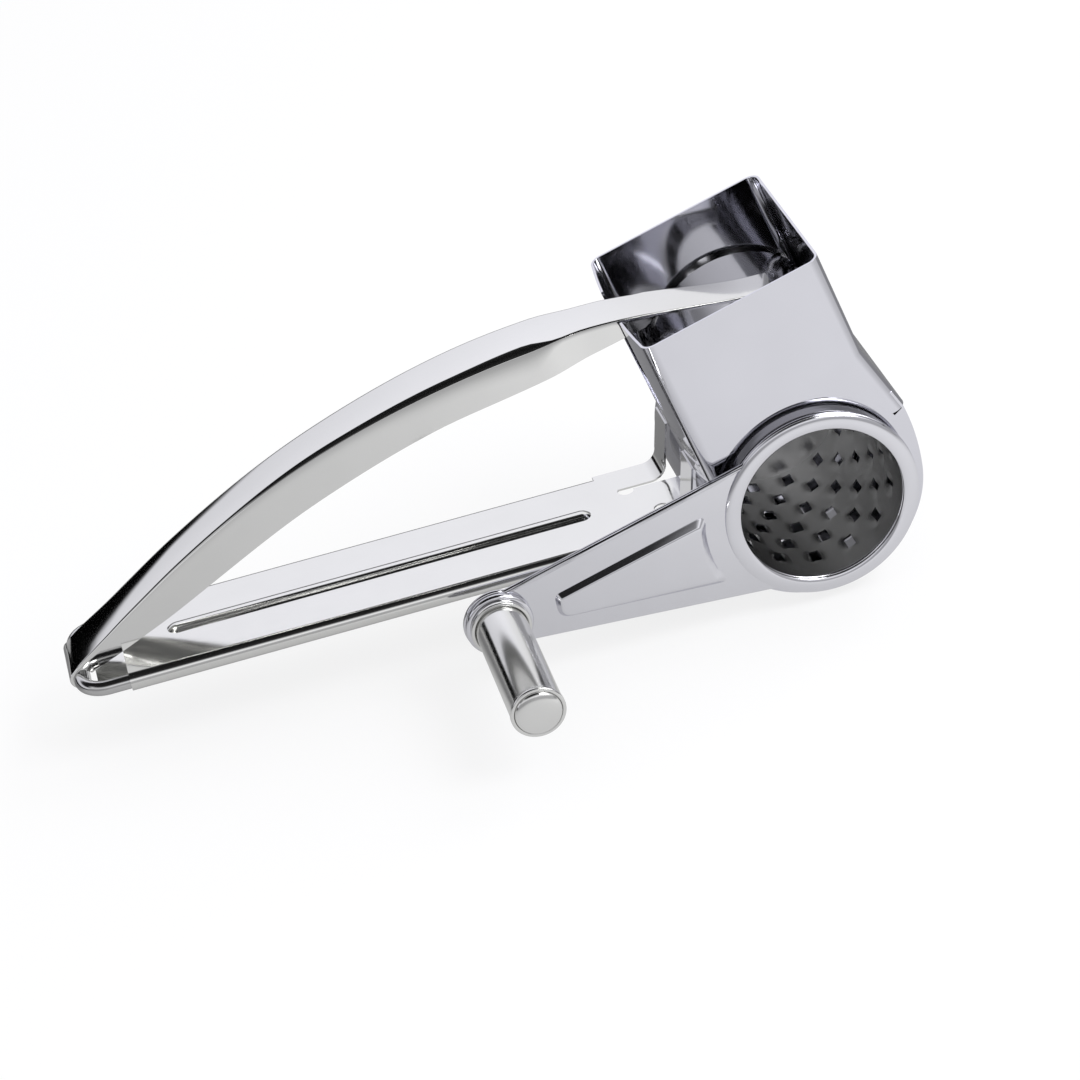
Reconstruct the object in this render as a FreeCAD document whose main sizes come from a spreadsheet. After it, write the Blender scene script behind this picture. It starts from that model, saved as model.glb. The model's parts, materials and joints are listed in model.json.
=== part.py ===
import FreeCAD, Part
import math
import os
from types import SimpleNamespace

import Sketcher
from FreeCAD import Placement, Rotation, Vector

# Hand cranked rotary drum shredder in stainless steel.
# +X runs along the lower handle towards the head, +Y away from the crank, +Z up.
# Every piece is drawn about the drum's axis, halfway along the hopper, and then placed.

SIZES = [
    # hopper: leans back towards the tail by hopper_lean, its sizes are taken square to its walls
    ("hopper_lean", 14.9),
    ("hopper_width", 45.6),
    ("hopper_depth", 50.2),
    ("hopper_offset", 1.2),
    ("hopper_top", 57.9),
    ("hopper_sheet", 0.6),
    ("hopper_corner", 3.0),
    ("hopper_bulge", 1.5),
    ("flare_top", 29.6),
    ("flare_foot", 11.0),
    ("flare_reach", 4.1),
    ("neck_slot_width", 17.0),
    ("neck_slot_floor", 31.0),
    # housing round the drum
    ("housing_radius", 26.6),
    ("housing_sheet", 0.6),
    ("housing_lap", 5.0),
    ("housing_blend_angle", 14.0),
    ("housing_mouth_radius", 23.4),
    ("ring_flange_width", 3.0),
    ("ring_sheet", 0.6),
    ("plate_clearance", 0.2),
    ("ring_collar_reach", 0.9),
    ("bearing_clearance", 0.05),
    ("hub_collar_wall", 0.9),
    ("hub_collar_length", 0.8),
    # drum and its hub
    ("drum_radius", 20.9),
    ("drum_sheet", 0.5),
    ("drum_rim_wall", 1.4),
    ("drum_rim_length", 3.8),
    ("drum_back_gap", 1.4),
    ("slot_length", 4.6),
    ("slot_width", 2.4),
    ("slots_around", 14),
    ("slots_along", 6),
    ("hub_radius", 3.0),
    ("hub_head_radius", 5.0),
    ("hub_head", 1.0),
    ("hub_washer_radius", 6.0),
    ("hub_washer", 0.3),
    ("hub_clip_radius", 5.0),
    ("hub_clip", 0.4),
    ("hub_groove_depth", 0.6),
    # crank
    ("crank_gap", 2.3),
    ("crank_sheet", 1.2),
    ("crank_ring_radius", 24.1),
    ("crank_mouth_radius", 20.0),
    ("crank_arm_above", 3.0),
    ("crank_arm_below", 7.3),
    ("crank_arm_joins_at", 47.9),
    ("crank_arm_leaves_at", 34.6),
    ("panel_radius", 28.7),
    ("panel_margin", 3.2),
    ("panel_tip", 15.0),
    ("panel_height", 0.7),
    ("spindle_run", 81.3),
    ("spindle_drop", 7.7),
    ("collar_radius", 8.4),
    ("collar_width", 2.0),
    ("collar_edge", 0.7),
    ("spindle_radius", 2.0),
    ("spindle_head_radius", 3.6),
    ("spindle_head", 1.0),
    ("spindle_washer_radius", 5.0),
    ("spindle_washer", 0.6),
    # knob
    ("knob_length", 38.0),
    ("knob_radius", 6.3),
    ("knob_sheet", 0.6),
    ("knob_play", 0.2),
    ("knob_base_radius", 7.4),
    ("knob_base_width", 1.6),
    ("knob_ring_radius", 6.5),
    ("knob_ring_width", 1.5),
    ("knob_cap_radius", 5.6),
    ("knob_cap_dome", 1.2),
    ("knob_bush_width", 4.0),
    # lower handle and its rod
    ("hinge_run", 179.0),
    ("hinge_drop", 5.6),
    ("rod_radius", 1.8),
    ("rod_in_roll", 60.0),
    ("bow_corner", 6.0),
    ("roll_clearance", 0.05),
    ("handle_sheet", 0.5),
    ("handle_half_width", 13.9),
    ("handle_tail_gap", 11.1),
    ("tail_shelf_gap", 3.6),
    ("tail_shelf_half_width", 12.4),
    ("roll_front", 46.0),
    ("rib_radius", 3.6),
    ("rib_height", 1.0),
    ("rib_rear", 154.0),
    ("rib_front", 53.0),
    ("tab_inner", 7.2),
    ("tab_outer", 16.2),
    ("tab_foot", 28.7),
    ("tab_height", 11.4),
    ("tab_bend", 4.0),
    ("relief_width", 1.2),
    ("relief_radius", 2.0),
    ("relief_run", 40.0),
    ("near_relief_run", 34.0),
    ("saddle_flange", 5.0),
    # press handle, drawn about the hinge at its rest position
    ("press_sheet", 0.8),
    ("press_clearance", 0.07),
    ("press_rest_angle", 6.8),
    ("tail_slope", 41.0),
    ("curl_half_width", 7.4),
    ("curl_end", 328.0),
    ("back_a_run", 29.0),
    ("back_a_rise", 23.8),
    ("back_b_run", 64.0),
    ("back_b_rise", 41.5),
    ("back_c_run", 104.0),
    ("back_c_rise", 52.6),
    ("back_d_run", 138.0),
    ("back_d_rise", 55.5),
    ("flange_a_run", 22.0),
    ("flange_a_rise", 9.9),
    ("flange_b_run", 61.0),
    ("flange_b_rise", 29.0),
    ("flange_c_run", 94.0),
    ("flange_c_rise", 40.5),
    ("flange_d_run", 122.0),
    ("flange_d_rise", 45.8),
    ("flange_end_run", 150.0),
    ("grip_half_width", 8.0),
    ("grip_widest_run", 106.0),
    ("shoulder_run", 124.0),
    ("shoulder_length", 12.0),
    ("neck_half_width", 6.6),
    ("neck_end_half_width", 4.7),
    # pusher
    ("pusher_gap", 1.0),
    ("pusher_sheet", 0.8),
    ("pusher_side_gap", 2.0),
    ("pusher_end_gap", 0.35),
    ("pusher_front_angle", 50.0),
    ("pusher_rear_angle", 75.0),
    ("saddle_height", 1.5),
    ("saddle_length", 8.0),
]

os.makedirs("parts", exist_ok=True)
doc = FreeCAD.newDocument("drum_shredder")
sheet = doc.addObject("Spreadsheet::Sheet", "Sizes")
for row, (alias, value) in enumerate(SIZES, start=1):
    sheet.set(f"A{row}", alias)
    sheet.set(f"B{row}", str(value))
    sheet.setAlias(f"B{row}", alias)
doc.recompute()
S = SimpleNamespace(**{alias: float(sheet.get(alias)) for alias, _ in SIZES})

# Places that follow from the sizes, measured from the drum's axis at the hopper's middle.
WALL = S.hopper_depth / 2
SIDE = WALL - S.hopper_sheet
RING = SIDE - S.housing_sheet
LEAN = math.radians(S.hopper_lean)
REAR = S.hopper_offset - S.hopper_width / 2
FRONT = S.hopper_offset + S.hopper_width / 2
HINGE = Vector(-S.hinge_run, 0, -S.hinge_drop)
CURL_INNER = S.rod_radius + S.press_clearance
CURL_OUTER = CURL_INNER + S.press_sheet
ROLL_INNER = S.rod_radius + S.roll_clearance
ROLL_OUTER = ROLL_INNER + S.handle_sheet
PLATE_TOP = ROLL_OUTER - S.hinge_drop
CRANK_FACE = WALL + S.crank_gap + S.crank_sheet
KNOB_END = CRANK_FACE + S.collar_width + S.knob_play + S.knob_length
AXIS = Vector(
    (S.hinge_run + CURL_OUTER - S.housing_radius) / 2,
    (KNOB_END + S.knob_cap_dome - WALL) / 2,
    S.housing_radius,
)
UP = Vector(0, 0, 1)
ALONG = Vector(1, 0, 0)
ACROSS = Vector(0, 1, 0)

# The same places as expressions, for the pieces whose features are bound to the sheet.
WALL_X = "Sizes.hopper_depth / 2"
RING_X = f"({WALL_X} - Sizes.hopper_sheet - Sizes.housing_sheet)"
BACK_PLATE_X = f"({RING_X} - Sizes.ring_sheet)"
BACK_PLATE_RADIUS_X = "(Sizes.housing_radius - Sizes.housing_sheet - Sizes.plate_clearance)"
DRUM_END_X = f"({BACK_PLATE_X} - Sizes.drum_back_gap)"
CRANK_BACK_X = f"({WALL_X} + Sizes.crank_gap)"
CRANK_FACE_X = f"({CRANK_BACK_X} + Sizes.crank_sheet)"
COLLAR_FACE_X = f"({CRANK_FACE_X} + Sizes.collar_width)"
KNOB_BASE_X = f"({COLLAR_FACE_X} + Sizes.knob_play)"
KNOB_END_X = f"({KNOB_BASE_X} + Sizes.knob_length)"
RIM_OUTER_X = "(Sizes.drum_radius + Sizes.drum_rim_wall)"
COLLAR_INNER_X = f"({RIM_OUTER_X} + Sizes.bearing_clearance)"
AXIS_X = (
    "(Sizes.hinge_run + Sizes.rod_radius + Sizes.press_clearance + Sizes.press_sheet"
    " - Sizes.housing_radius) / 2",
    f"({KNOB_END_X} + Sizes.knob_cap_dome - {WALL_X}) / 2",
    "Sizes.housing_radius",
)
SPINDLE_X = (f"{AXIS_X[0]} - Sizes.spindle_run", AXIS_X[1], f"{AXIS_X[2]} - Sizes.spindle_drop")


# ---------------------------------------------------------------- helpers

def bind_place(piece, place):
    """Put a piece at a point given as three expressions."""
    for letter, expression in zip("xyz", place):
        piece.setExpression(f".Placement.Base.{letter}", expression)


def origin_plane(body, role):
    """A body's own origin plane, found by its role."""
    return next(item for item in body.Origin.OriginFeatures if item.Role == role)


def new_body(label, place):
    body = doc.addObject("PartDesign::Body", label)
    body.Label = label
    bind_place(body, place)
    return body


def polygon_sketch(body, name, role, corners, offset=None):
    """A closed polygon whose corners are pairs of expressions measured from the origin."""
    sketch = body.newObject("Sketcher::SketchObject", name)
    sketch.AttachmentSupport = [(origin_plane(body, role), "")]
    sketch.MapMode = "FlatFace"
    if offset is not None:
        sketch.setExpression(".AttachmentOffset.Base.z", offset)
    count = len(corners)
    rough = []
    for index in range(count):
        turn = 2 * math.pi * index / count
        rough.append(Vector(30 + 20 * math.cos(turn), 30 + 20 * math.sin(turn), 0))
    for index in range(count):
        sketch.addGeometry(Part.LineSegment(rough[index], rough[(index + 1) % count]), False)
    for index in range(count):
        sketch.addConstraint(Sketcher.Constraint("Coincident", index, 2, (index + 1) % count, 1))
    for index, (across, along) in enumerate(corners):
        first = sketch.addConstraint(
            Sketcher.Constraint("DistanceX", -1, 1, index, 1, rough[index].x))
        sketch.setExpression(f"Constraints[{first}]", across)
        second = sketch.addConstraint(
            Sketcher.Constraint("DistanceY", -1, 1, index, 1, rough[index].y))
        sketch.setExpression(f"Constraints[{second}]", along)
    return sketch


def circle_sketch(body, name, role, radius, centre=None, offset=None):
    """A circle whose radius and centre are expressions."""
    sketch = body.newObject("Sketcher::SketchObject", name)
    sketch.AttachmentSupport = [(origin_plane(body, role), "")]
    sketch.MapMode = "FlatFace"
    if offset is not None:
        sketch.setExpression(".AttachmentOffset.Base.z", offset)
    start = Vector(0, 0, 0) if centre is None else Vector(10, 10, 0)
    sketch.addGeometry(Part.Circle(start, UP, 5), False)
    size = sketch.addConstraint(Sketcher.Constraint("Radius", 0, 5))
    sketch.setExpression(f"Constraints[{size}]", radius)
    if centre is None:
        sketch.addConstraint(Sketcher.Constraint("Coincident", 0, 3, -1, 1))
        return sketch
    for kind, expression in zip(("DistanceX", "DistanceY"), centre):
        place = sketch.addConstraint(Sketcher.Constraint(kind, -1, 1, 0, 3, 10))
        sketch.setExpression(f"Constraints[{place}]", expression)
    return sketch


def pad(body, sketch, length, name):
    feature = body.newObject("PartDesign::Pad", name)
    feature.Profile = sketch
    feature.setExpression("Length", length)
    return feature


def turned(label, corners, place=AXIS_X):
    """A piece turned about the Y axis from a profile of (radius, y) corners."""
    body = new_body(label, place)
    sketch = polygon_sketch(body, f"{label}_profile", "XY_Plane", corners)
    feature = body.newObject("PartDesign::Revolution", f"{label}_turned")
    feature.Profile = sketch
    feature.ReferenceAxis = (sketch, ["V_Axis"])
    feature.Angle = 360
    return body


def ring_corners(inner, outer, low, high):
    """The profile of a plain ring, or of a disc where the inner radius is zero."""
    return [(inner, low), (outer, low), (outer, high), (inner, high)]


def shaped(label, shape, placement):
    """A piece whose shape is worked out by Part's own functions from the sheet's sizes."""
    feature = doc.addObject("Part::Feature", label)
    feature.Label = label
    feature.Shape = shape
    feature.Placement = placement * shape.Placement
    return feature


def point(across, height, depth=0.0):
    return Vector(across, depth, height)


def on_circle(radius, degrees, depth=0.0):
    """A point on a circle about the Y axis, measured from +X towards +Z."""
    angle = math.radians(degrees)
    return Vector(radius * math.cos(angle), depth, radius * math.sin(angle))


def arc(radius, start, end, depth=0.0):
    middle = (start + end) / 2
    ends = [on_circle(radius, turn, depth) for turn in (start, middle, end)]
    return Part.Arc(*ends).toShape()


def prism(edges, half_depth):
    """A closed outline in the XZ plane, thickened evenly to both sides of it."""
    face = Part.Face(Part.Wire(Part.__sortEdges__(edges)))
    face.translate(Vector(0, -half_depth, 0))
    return face.extrude(Vector(0, 2 * half_depth, 0))


def polyline(points):
    return [Part.makeLine(a, b) for a, b in zip(points, points[1:])]


def closed(points):
    return polyline(points + points[:1])


def rod_along_y(radius, low, high):
    return Part.makeCylinder(radius, high - low, Vector(0, low, 0), ACROSS)


# ---------------------------------------------------------------- hopper and housing

def front_at(level):
    """The hopper's outer front face at a height, on the flare and on its line beyond."""
    if level >= S.flare_top:
        return FRONT
    return FRONT + S.flare_reach * (S.flare_top - level) / (S.flare_top - S.flare_foot)


def plan_outline(inset, level):
    """The hopper's outline across its height: rounded corners and a rear wall bowed outwards."""
    front = front_at(level) - inset
    rear = REAR + inset
    side = WALL - inset
    radius = S.hopper_corner - inset
    diagonal = radius * (1 - math.sqrt(0.5))

    def at(across, depth):
        return Vector(across, depth, level)

    edges = [
        Part.makeLine(at(front, radius - side), at(front, side - radius)),
        Part.Arc(at(front, side - radius), at(front - diagonal, side - diagonal),
                 at(front - radius, side)).toShape(),
        Part.makeLine(at(front - radius, side), at(rear + radius, side)),
        Part.Arc(at(rear + radius, side), at(rear + diagonal, side - diagonal),
                 at(rear, side - radius)).toShape(),
        Part.Arc(at(rear, side - radius), at(rear - S.hopper_bulge, 0),
                 at(rear, radius - side)).toShape(),
        Part.Arc(at(rear, radius - side), at(rear + diagonal, diagonal - side),
                 at(rear + radius, -side)).toShape(),
        Part.makeLine(at(rear + radius, -side), at(front - radius, -side)),
        Part.Arc(at(front - radius, -side), at(front - diagonal, diagonal - side),
                 at(front, radius - side)).toShape(),
    ]
    return Part.Wire(edges)


def hopper_block(inset, foot, top):
    straight = Part.Face(plan_outline(inset, S.flare_top)).extrude(Vector(0, 0, top - S.flare_top))
    flare = Part.makeLoft([plan_outline(inset, foot), plan_outline(inset, S.flare_top)], True, True)
    return straight.fuse(flare).removeSplitter()


def hopper_shell():
    shell = hopper_block(0, S.flare_foot, S.hopper_top)
    shell = shell.cut(hopper_block(S.hopper_sheet, S.flare_foot - 1, S.hopper_top + 1))
    shell = shell.cut(rod_along_y(S.housing_radius, -WALL - 1, WALL + 1))
    slot = Part.makeBox(
        S.hopper_bulge + 4, S.neck_slot_width, S.hopper_top,
        Vector(REAR - S.hopper_bulge - 2, -S.neck_slot_width / 2, S.neck_slot_floor))
    return shell.cut(slot)


def housing_profile():
    """Corner points of the housing's outline: the round shell runs out into the skirt's lap."""
    wall = S.housing_sheet
    blend = -S.housing_blend_angle
    rear_angle = math.degrees(math.acos((REAR + S.hopper_sheet) / S.housing_radius))
    foot = point(front_at(S.flare_foot) - S.hopper_sheet, S.flare_foot)
    lap_top = S.flare_foot + S.housing_lap
    lap = point(front_at(lap_top) - S.hopper_sheet, lap_top)
    start = on_circle(S.housing_radius, blend)
    normal = on_circle(1, blend)
    chord = foot - start
    radius = -chord.dot(chord) / (2 * chord.dot(normal))
    centre = start - normal * radius
    bisector = (start - centre) + (foot - centre)
    bisector.normalize()
    foot_normal = (foot - centre) / radius
    return SimpleNamespace(
        rear_angle=rear_angle, blend=blend, start=start, foot=foot, lap=lap,
        middle=centre + bisector * abs(radius),
        inner_start=start - normal * wall, inner_foot=foot - foot_normal * wall,
        inner_middle=centre + bisector * abs(radius - wall),
        inner_lap=lap - Vector(wall, 0, 0))


def drum_housing(hopper):
    profile = housing_profile()
    outer, inner = S.housing_radius, S.housing_radius - S.housing_sheet
    turn = 360 + profile.blend
    shell = prism([
        arc(outer, profile.rear_angle, turn),
        Part.Arc(profile.start, profile.middle, profile.foot).toShape(),
        Part.makeLine(profile.foot, profile.lap),
        Part.makeLine(profile.lap, profile.inner_lap),
        Part.makeLine(profile.inner_lap, profile.inner_foot),
        Part.Arc(profile.inner_foot, profile.inner_middle, profile.inner_start).toShape(),
        arc(inner, turn, profile.rear_angle),
        Part.makeLine(on_circle(inner, profile.rear_angle), on_circle(outer, profile.rear_angle)),
    ], SIDE)
    heel = point(0, 0)
    patch = prism([
        Part.makeLine(heel, profile.start),
        Part.Arc(profile.start, profile.middle, profile.foot).toShape(),
        Part.makeLine(profile.foot, heel),
    ], SIDE)
    cheeks = rod_along_y(outer, -SIDE, SIDE).fuse(patch)
    cheeks = cheeks.cut(rod_along_y(S.housing_mouth_radius, -SIDE - 1, SIDE + 1))
    gap = Part.makeBox(4 * outer, 2 * RING, 4 * outer, Vector(-2 * outer, -RING, -2 * outer))
    return shell.fuse(cheeks.cut(gap)).cut(hopper).removeSplitter()


# ---------------------------------------------------------------- lower handle

def lower_handle():
    rear = -S.hinge_run + S.handle_tail_gap
    half = S.handle_half_width
    sheet_low = PLATE_TOP - S.handle_sheet
    foot = -S.tab_foot
    bend_start = foot - S.handle_sheet - S.tab_bend

    plate = Part.makeBox(bend_start - rear, 2 * half, S.handle_sheet, Vector(rear, -half, sheet_low))
    tongue_front = -math.sqrt(S.housing_radius ** 2 - sheet_low ** 2)
    tongue = Part.makeBox(
        tongue_front - bend_start, 2 * (S.tab_inner - S.relief_width), S.handle_sheet,
        Vector(bend_start, S.relief_width - S.tab_inner, sheet_low))
    solid = plate.fuse(tongue).fuse(saddle_flange(sheet_low)).fuse(tail_shelf(rear))

    for side in (-1, 1):
        run = S.relief_run if side > 0 else S.near_relief_run
        roll_centre = Vector(rear, side * half, -S.hinge_drop)
        length = -S.roll_front - rear
        roll = Part.makeCylinder(ROLL_OUTER, length, roll_centre, ALONG)
        roll = roll.cut(Part.makeCylinder(ROLL_INNER, length, roll_centre, ALONG))
        bore = Part.makeCylinder(ROLL_INNER, length, roll_centre, ALONG)
        tab_centre = side * (S.tab_inner + S.tab_outer) / 2
        slit_centre = side * (S.tab_inner - S.relief_width / 2)
        slit = Part.makeBox(
            run - S.tab_foot + S.relief_width + 8, S.relief_width, 3,
            Vector(-run, slit_centre - S.relief_width / 2, sheet_low - 1))
        hole_centre = Vector(-run, slit_centre - side * S.relief_width / 2, sheet_low - 1)
        hole = Part.makeCylinder(S.relief_radius, 3, hole_centre, UP)
        solid = solid.fuse(roll).cut(bore).cut(slit).cut(hole)
        solid = solid.fuse(handle_tab(tab_centre, bend_start, sheet_low))
        solid = solid.fuse(tab_shoulder(side, bend_start, sheet_low))
    return add_rib(solid).removeSplitter()


def tail_shelf(rear):
    """The plate's rear end, stepped down between the bow's arms to the height of the rolls' underside."""
    half = S.tail_shelf_half_width
    low = -S.hinge_drop - ROLL_OUTER
    start = -S.hinge_run + S.tail_shelf_gap
    step = Part.makeBox(S.handle_sheet, 2 * half, PLATE_TOP - low, Vector(rear, -half, low))
    shelf = Part.makeBox(rear + S.handle_sheet - start, 2 * half, S.handle_sheet, Vector(start, -half, low))
    return step.fuse(shelf)


def saddle_flange(sheet_low):
    """The end of the plate's middle tongue, turned down along the round housing."""
    start = 180 + math.degrees(math.asin(-PLATE_TOP / S.housing_radius))
    sweep = math.degrees(S.saddle_flange / S.housing_radius)
    inner = S.housing_radius
    outer = S.housing_radius + S.handle_sheet
    width = S.tab_inner - S.relief_width
    return prism([
        arc(inner, start, start + sweep),
        Part.makeLine(on_circle(inner, start + sweep), on_circle(outer, start + sweep)),
        arc(outer, start + sweep, start),
        Part.makeLine(on_circle(outer, start), on_circle(inner, start)),
    ], width)


def tab_contact():
    """Where the tab's top touches the hopper's bowed rear wall, at the tab's inner edge."""
    half_chord = WALL - S.hopper_corner
    bow = S.hopper_bulge * (1 - (S.tab_inner / half_chord) ** 2)
    across = REAR - bow
    height = (S.tab_height - across * math.sin(LEAN)) / math.cos(LEAN)
    return across * math.cos(LEAN) - height * math.sin(LEAN) - S.roll_clearance


def handle_tab(centre, bend_start, sheet_low):
    """One side of the plate's end, bent up so that its top bears on the hopper."""
    sheet = S.handle_sheet
    corner = point(bend_start, PLATE_TOP + S.tab_bend)
    slant = math.sqrt(0.5)
    top_front = tab_contact()
    foot_front = -S.tab_foot
    tab = prism([
        Part.makeLine(point(bend_start, sheet_low), point(bend_start, PLATE_TOP)),
        Part.Arc(point(bend_start, PLATE_TOP),
                 corner + point(S.tab_bend * slant, -S.tab_bend * slant),
                 corner + point(S.tab_bend, 0)).toShape(),
        Part.makeLine(corner + point(S.tab_bend, 0), point(top_front - sheet, S.tab_height)),
        Part.makeLine(point(top_front - sheet, S.tab_height), point(top_front, S.tab_height)),
        Part.makeLine(point(top_front, S.tab_height), point(foot_front, corner.z)),
        Part.Arc(point(foot_front, corner.z),
                 corner + point((S.tab_bend + sheet) * slant, -(S.tab_bend + sheet) * slant),
                 point(bend_start, sheet_low)).toShape(),
    ], (S.tab_outer - S.tab_inner) / 2)
    tab.translate(Vector(0, centre, 0))
    return tab


def tab_shoulder(side, bend_start, sheet_low):
    """The flat between the end of the roll and the bend, as wide as the tab."""
    low, high = sorted((side * S.tab_inner, side * S.tab_outer))
    return Part.makeBox(bend_start + S.roll_front, high - low, S.handle_sheet,
                        Vector(-S.roll_front, low, sheet_low))


def capsule(radius, drop):
    """A round ended bar along X whose axis lies below the plate's top face."""
    length = S.rib_rear - S.rib_front
    start = Vector(-S.rib_rear, 0, PLATE_TOP - drop)
    bar = Part.makeCylinder(radius, length, start, ALONG)
    for end in (0, length):
        bar = bar.fuse(Part.makeSphere(radius, start + Vector(end, 0, 0)))
    return bar


def add_rib(plate):
    """The stiffening rib pressed up along the middle of the plate."""
    drop = S.rib_radius - S.rib_height
    span = S.rib_rear + 2 * S.rib_radius
    above = Part.makeBox(span, 4 * S.rib_radius, 2 * S.rib_radius,
                         Vector(-S.rib_rear - S.rib_radius, -2 * S.rib_radius, PLATE_TOP))
    bump = capsule(S.rib_radius, drop).common(above)
    hollow = capsule(S.rib_radius - S.handle_sheet, drop)
    return plate.fuse(bump).cut(hollow)


def handle_bow():
    """The steel rod bent to a U: its legs lie in the plate's rolls and its bow is the hinge pin."""
    half, corner = S.handle_half_width, S.bow_corner
    inside = -S.hinge_run + S.handle_tail_gap + S.rod_in_roll
    tail = -S.hinge_run
    diagonal = corner * (1 - math.sqrt(0.5))
    points = [
        Vector(inside, -half, 0), Vector(tail + corner, -half, 0),
        Vector(tail, corner - half, 0), Vector(tail, half - corner, 0),
        Vector(tail + corner, half, 0), Vector(inside, half, 0),
    ]
    near_bend = Vector(tail + diagonal, diagonal - half, 0)
    far_bend = Vector(tail + diagonal, half - diagonal, 0)
    path = Part.Wire([
        Part.makeLine(points[0], points[1]),
        Part.Arc(points[1], near_bend, points[2]).toShape(),
        Part.makeLine(points[2], points[3]),
        Part.Arc(points[3], far_bend, points[4]).toShape(),
        Part.makeLine(points[4], points[5]),
    ])
    section = Part.Wire(Part.makeCircle(S.rod_radius, points[0], ALONG))
    rod = path.makePipeShell([section], True, True)
    rod.translate(Vector(0, 0, -S.hinge_drop))
    return rod


# ---------------------------------------------------------------- press handle and pusher

def crown():
    """The top of the pusher's arch at rest, seen from the hinge."""
    lift = math.radians(S.press_rest_angle)
    run, rise = S.hinge_run, S.hinge_drop
    return point(run * math.cos(lift) - rise * math.sin(lift),
                 run * math.sin(lift) + rise * math.cos(lift)
                 + S.drum_radius + S.pusher_gap + S.pusher_sheet)


def smooth(points, first=None, last=None):
    """One smooth edge through the points, with its end directions where they are given."""
    curve = Part.BSplineCurve()
    if first is None:
        curve.interpolate(points)
    else:
        curve.interpolate(points, InitialTangent=first, FinalTangent=last)
    return curve.toShape()


def back_line(lower):
    """The press handle's back from its curl to its end, or its inner face where lowered."""
    slope = math.radians(S.tail_slope)
    start = on_circle(CURL_OUTER, 90 + S.tail_slope)
    end = crown() + point(S.saddle_length / 2, S.saddle_height + S.press_sheet)
    knots = [
        start,
        point(S.back_a_run, S.back_a_rise),
        point(S.back_b_run, S.back_b_rise),
        point(S.back_c_run, S.back_c_rise),
        point(S.back_d_run, S.back_d_rise),
        end - point(S.saddle_length, -S.press_sheet / 4),
        end,
    ]
    inward = Vector(math.sin(slope / 2), 0, -math.cos(slope / 2)) * lower
    knots = [knot + inward for knot in knots]
    tangent = Vector(math.cos(slope), 0, math.sin(slope))
    return smooth(knots, tangent * 30, ALONG * 8), knots[0], knots[-1]


def flange_line():
    """The lower edge of both flanges, from the curl to where they run out under the neck."""
    curve, _, end = back_line(0)
    run_out = point(S.flange_end_run, 0)
    cut = Part.makeLine(run_out, run_out + UP * 500)
    height = curve.distToShape(cut)[1][0][0].z - 1.2 * S.press_sheet
    start = on_circle(CURL_OUTER, S.tail_slope / 2)
    knots = [
        start,
        point(S.flange_a_run, S.flange_a_rise),
        point(S.flange_b_run, S.flange_b_rise),
        point(S.flange_c_run, S.flange_c_rise),
        point(S.flange_d_run, S.flange_d_rise),
        point(S.flange_end_run, height),
    ]
    return smooth(knots), knots[0], knots[-1], end


def plan_prism(inset):
    """The press handle's plan outline: nearly even along the grip, then a narrow neck."""
    end_run = crown().x + S.saddle_length / 2
    shoulder_end = S.shoulder_run + S.shoulder_length
    half_widths = [
        (-CURL_OUTER, S.curl_half_width),
        (S.grip_widest_run / 2, (S.curl_half_width + S.grip_half_width) / 2 - 0.4),
        (S.grip_widest_run, S.grip_half_width),
        (S.shoulder_run, S.grip_half_width - 0.2),
        (shoulder_end, S.neck_half_width),
        (end_run + 1, S.neck_end_half_width),
    ]
    near = [Vector(run, inset - half, 0) for run, half in half_widths]
    far = [Vector(run, half - inset, 0) for run, half in half_widths]
    edges = [smooth(near), Part.makeLine(near[-1], far[-1]),
             smooth(far), Part.makeLine(far[0], near[0])]
    face = Part.Face(Part.Wire(Part.__sortEdges__(edges)))
    face.translate(Vector(0, 0, -50))
    return face.extrude(Vector(0, 0, 200))


def press_handle():
    back, start, end = back_line(0)
    flange, flange_start, flange_end, _ = flange_line()
    tip = end - point(0, S.press_sheet)
    under, under_start, under_end = back_line(S.press_sheet)
    outline = [
        back,
        Part.makeLine(end, tip),
        Part.makeLine(tip, flange_end),
        flange,
        Part.makeLine(flange_start, point(0, 0)),
        Part.makeLine(point(0, 0), start),
    ]
    solid = prism(outline, 2 * S.grip_half_width).common(plan_prism(0))
    floor = -60
    hollow = prism([
        under,
        Part.makeLine(under_end, point(under_end.x, floor)),
        Part.makeLine(point(under_end.x, floor), point(under_start.x, floor)),
        Part.makeLine(point(under_start.x, floor), under_start),
    ], 2 * S.grip_half_width).common(plan_prism(S.press_sheet))
    beyond = Part.makeBox(500, 100, 300, Vector(S.flange_end_run, -50, -100))
    strip = prism([
        under,
        Part.makeLine(under_end, point(under_end.x, floor)),
        Part.makeLine(point(under_end.x, floor), point(under_start.x, floor)),
        Part.makeLine(point(under_start.x, floor), under_start),
    ], 2 * S.grip_half_width).common(beyond)
    tail = Part.makeBox(30, 100, 100, Vector(CURL_OUTER - 30, -50, -60))
    solid = solid.cut(hollow.cut(tail)).cut(strip)
    return solid.fuse(curl()).cut(rod_along_y(CURL_INNER, -50, 50)).removeSplitter()


def curl():
    """The tail of the press handle, wrapped round the bow so that it turns on it."""
    start = 90 + S.tail_slope
    return prism([
        arc(CURL_OUTER, start, S.curl_end),
        Part.makeLine(on_circle(CURL_OUTER, S.curl_end), on_circle(CURL_INNER, S.curl_end)),
        arc(CURL_INNER, S.curl_end, start),
        Part.makeLine(on_circle(CURL_INNER, start), on_circle(CURL_OUTER, start)),
    ], S.curl_half_width)


def pusher_half_depth():
    return RING - S.ring_sheet - S.pusher_side_gap / 2


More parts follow.
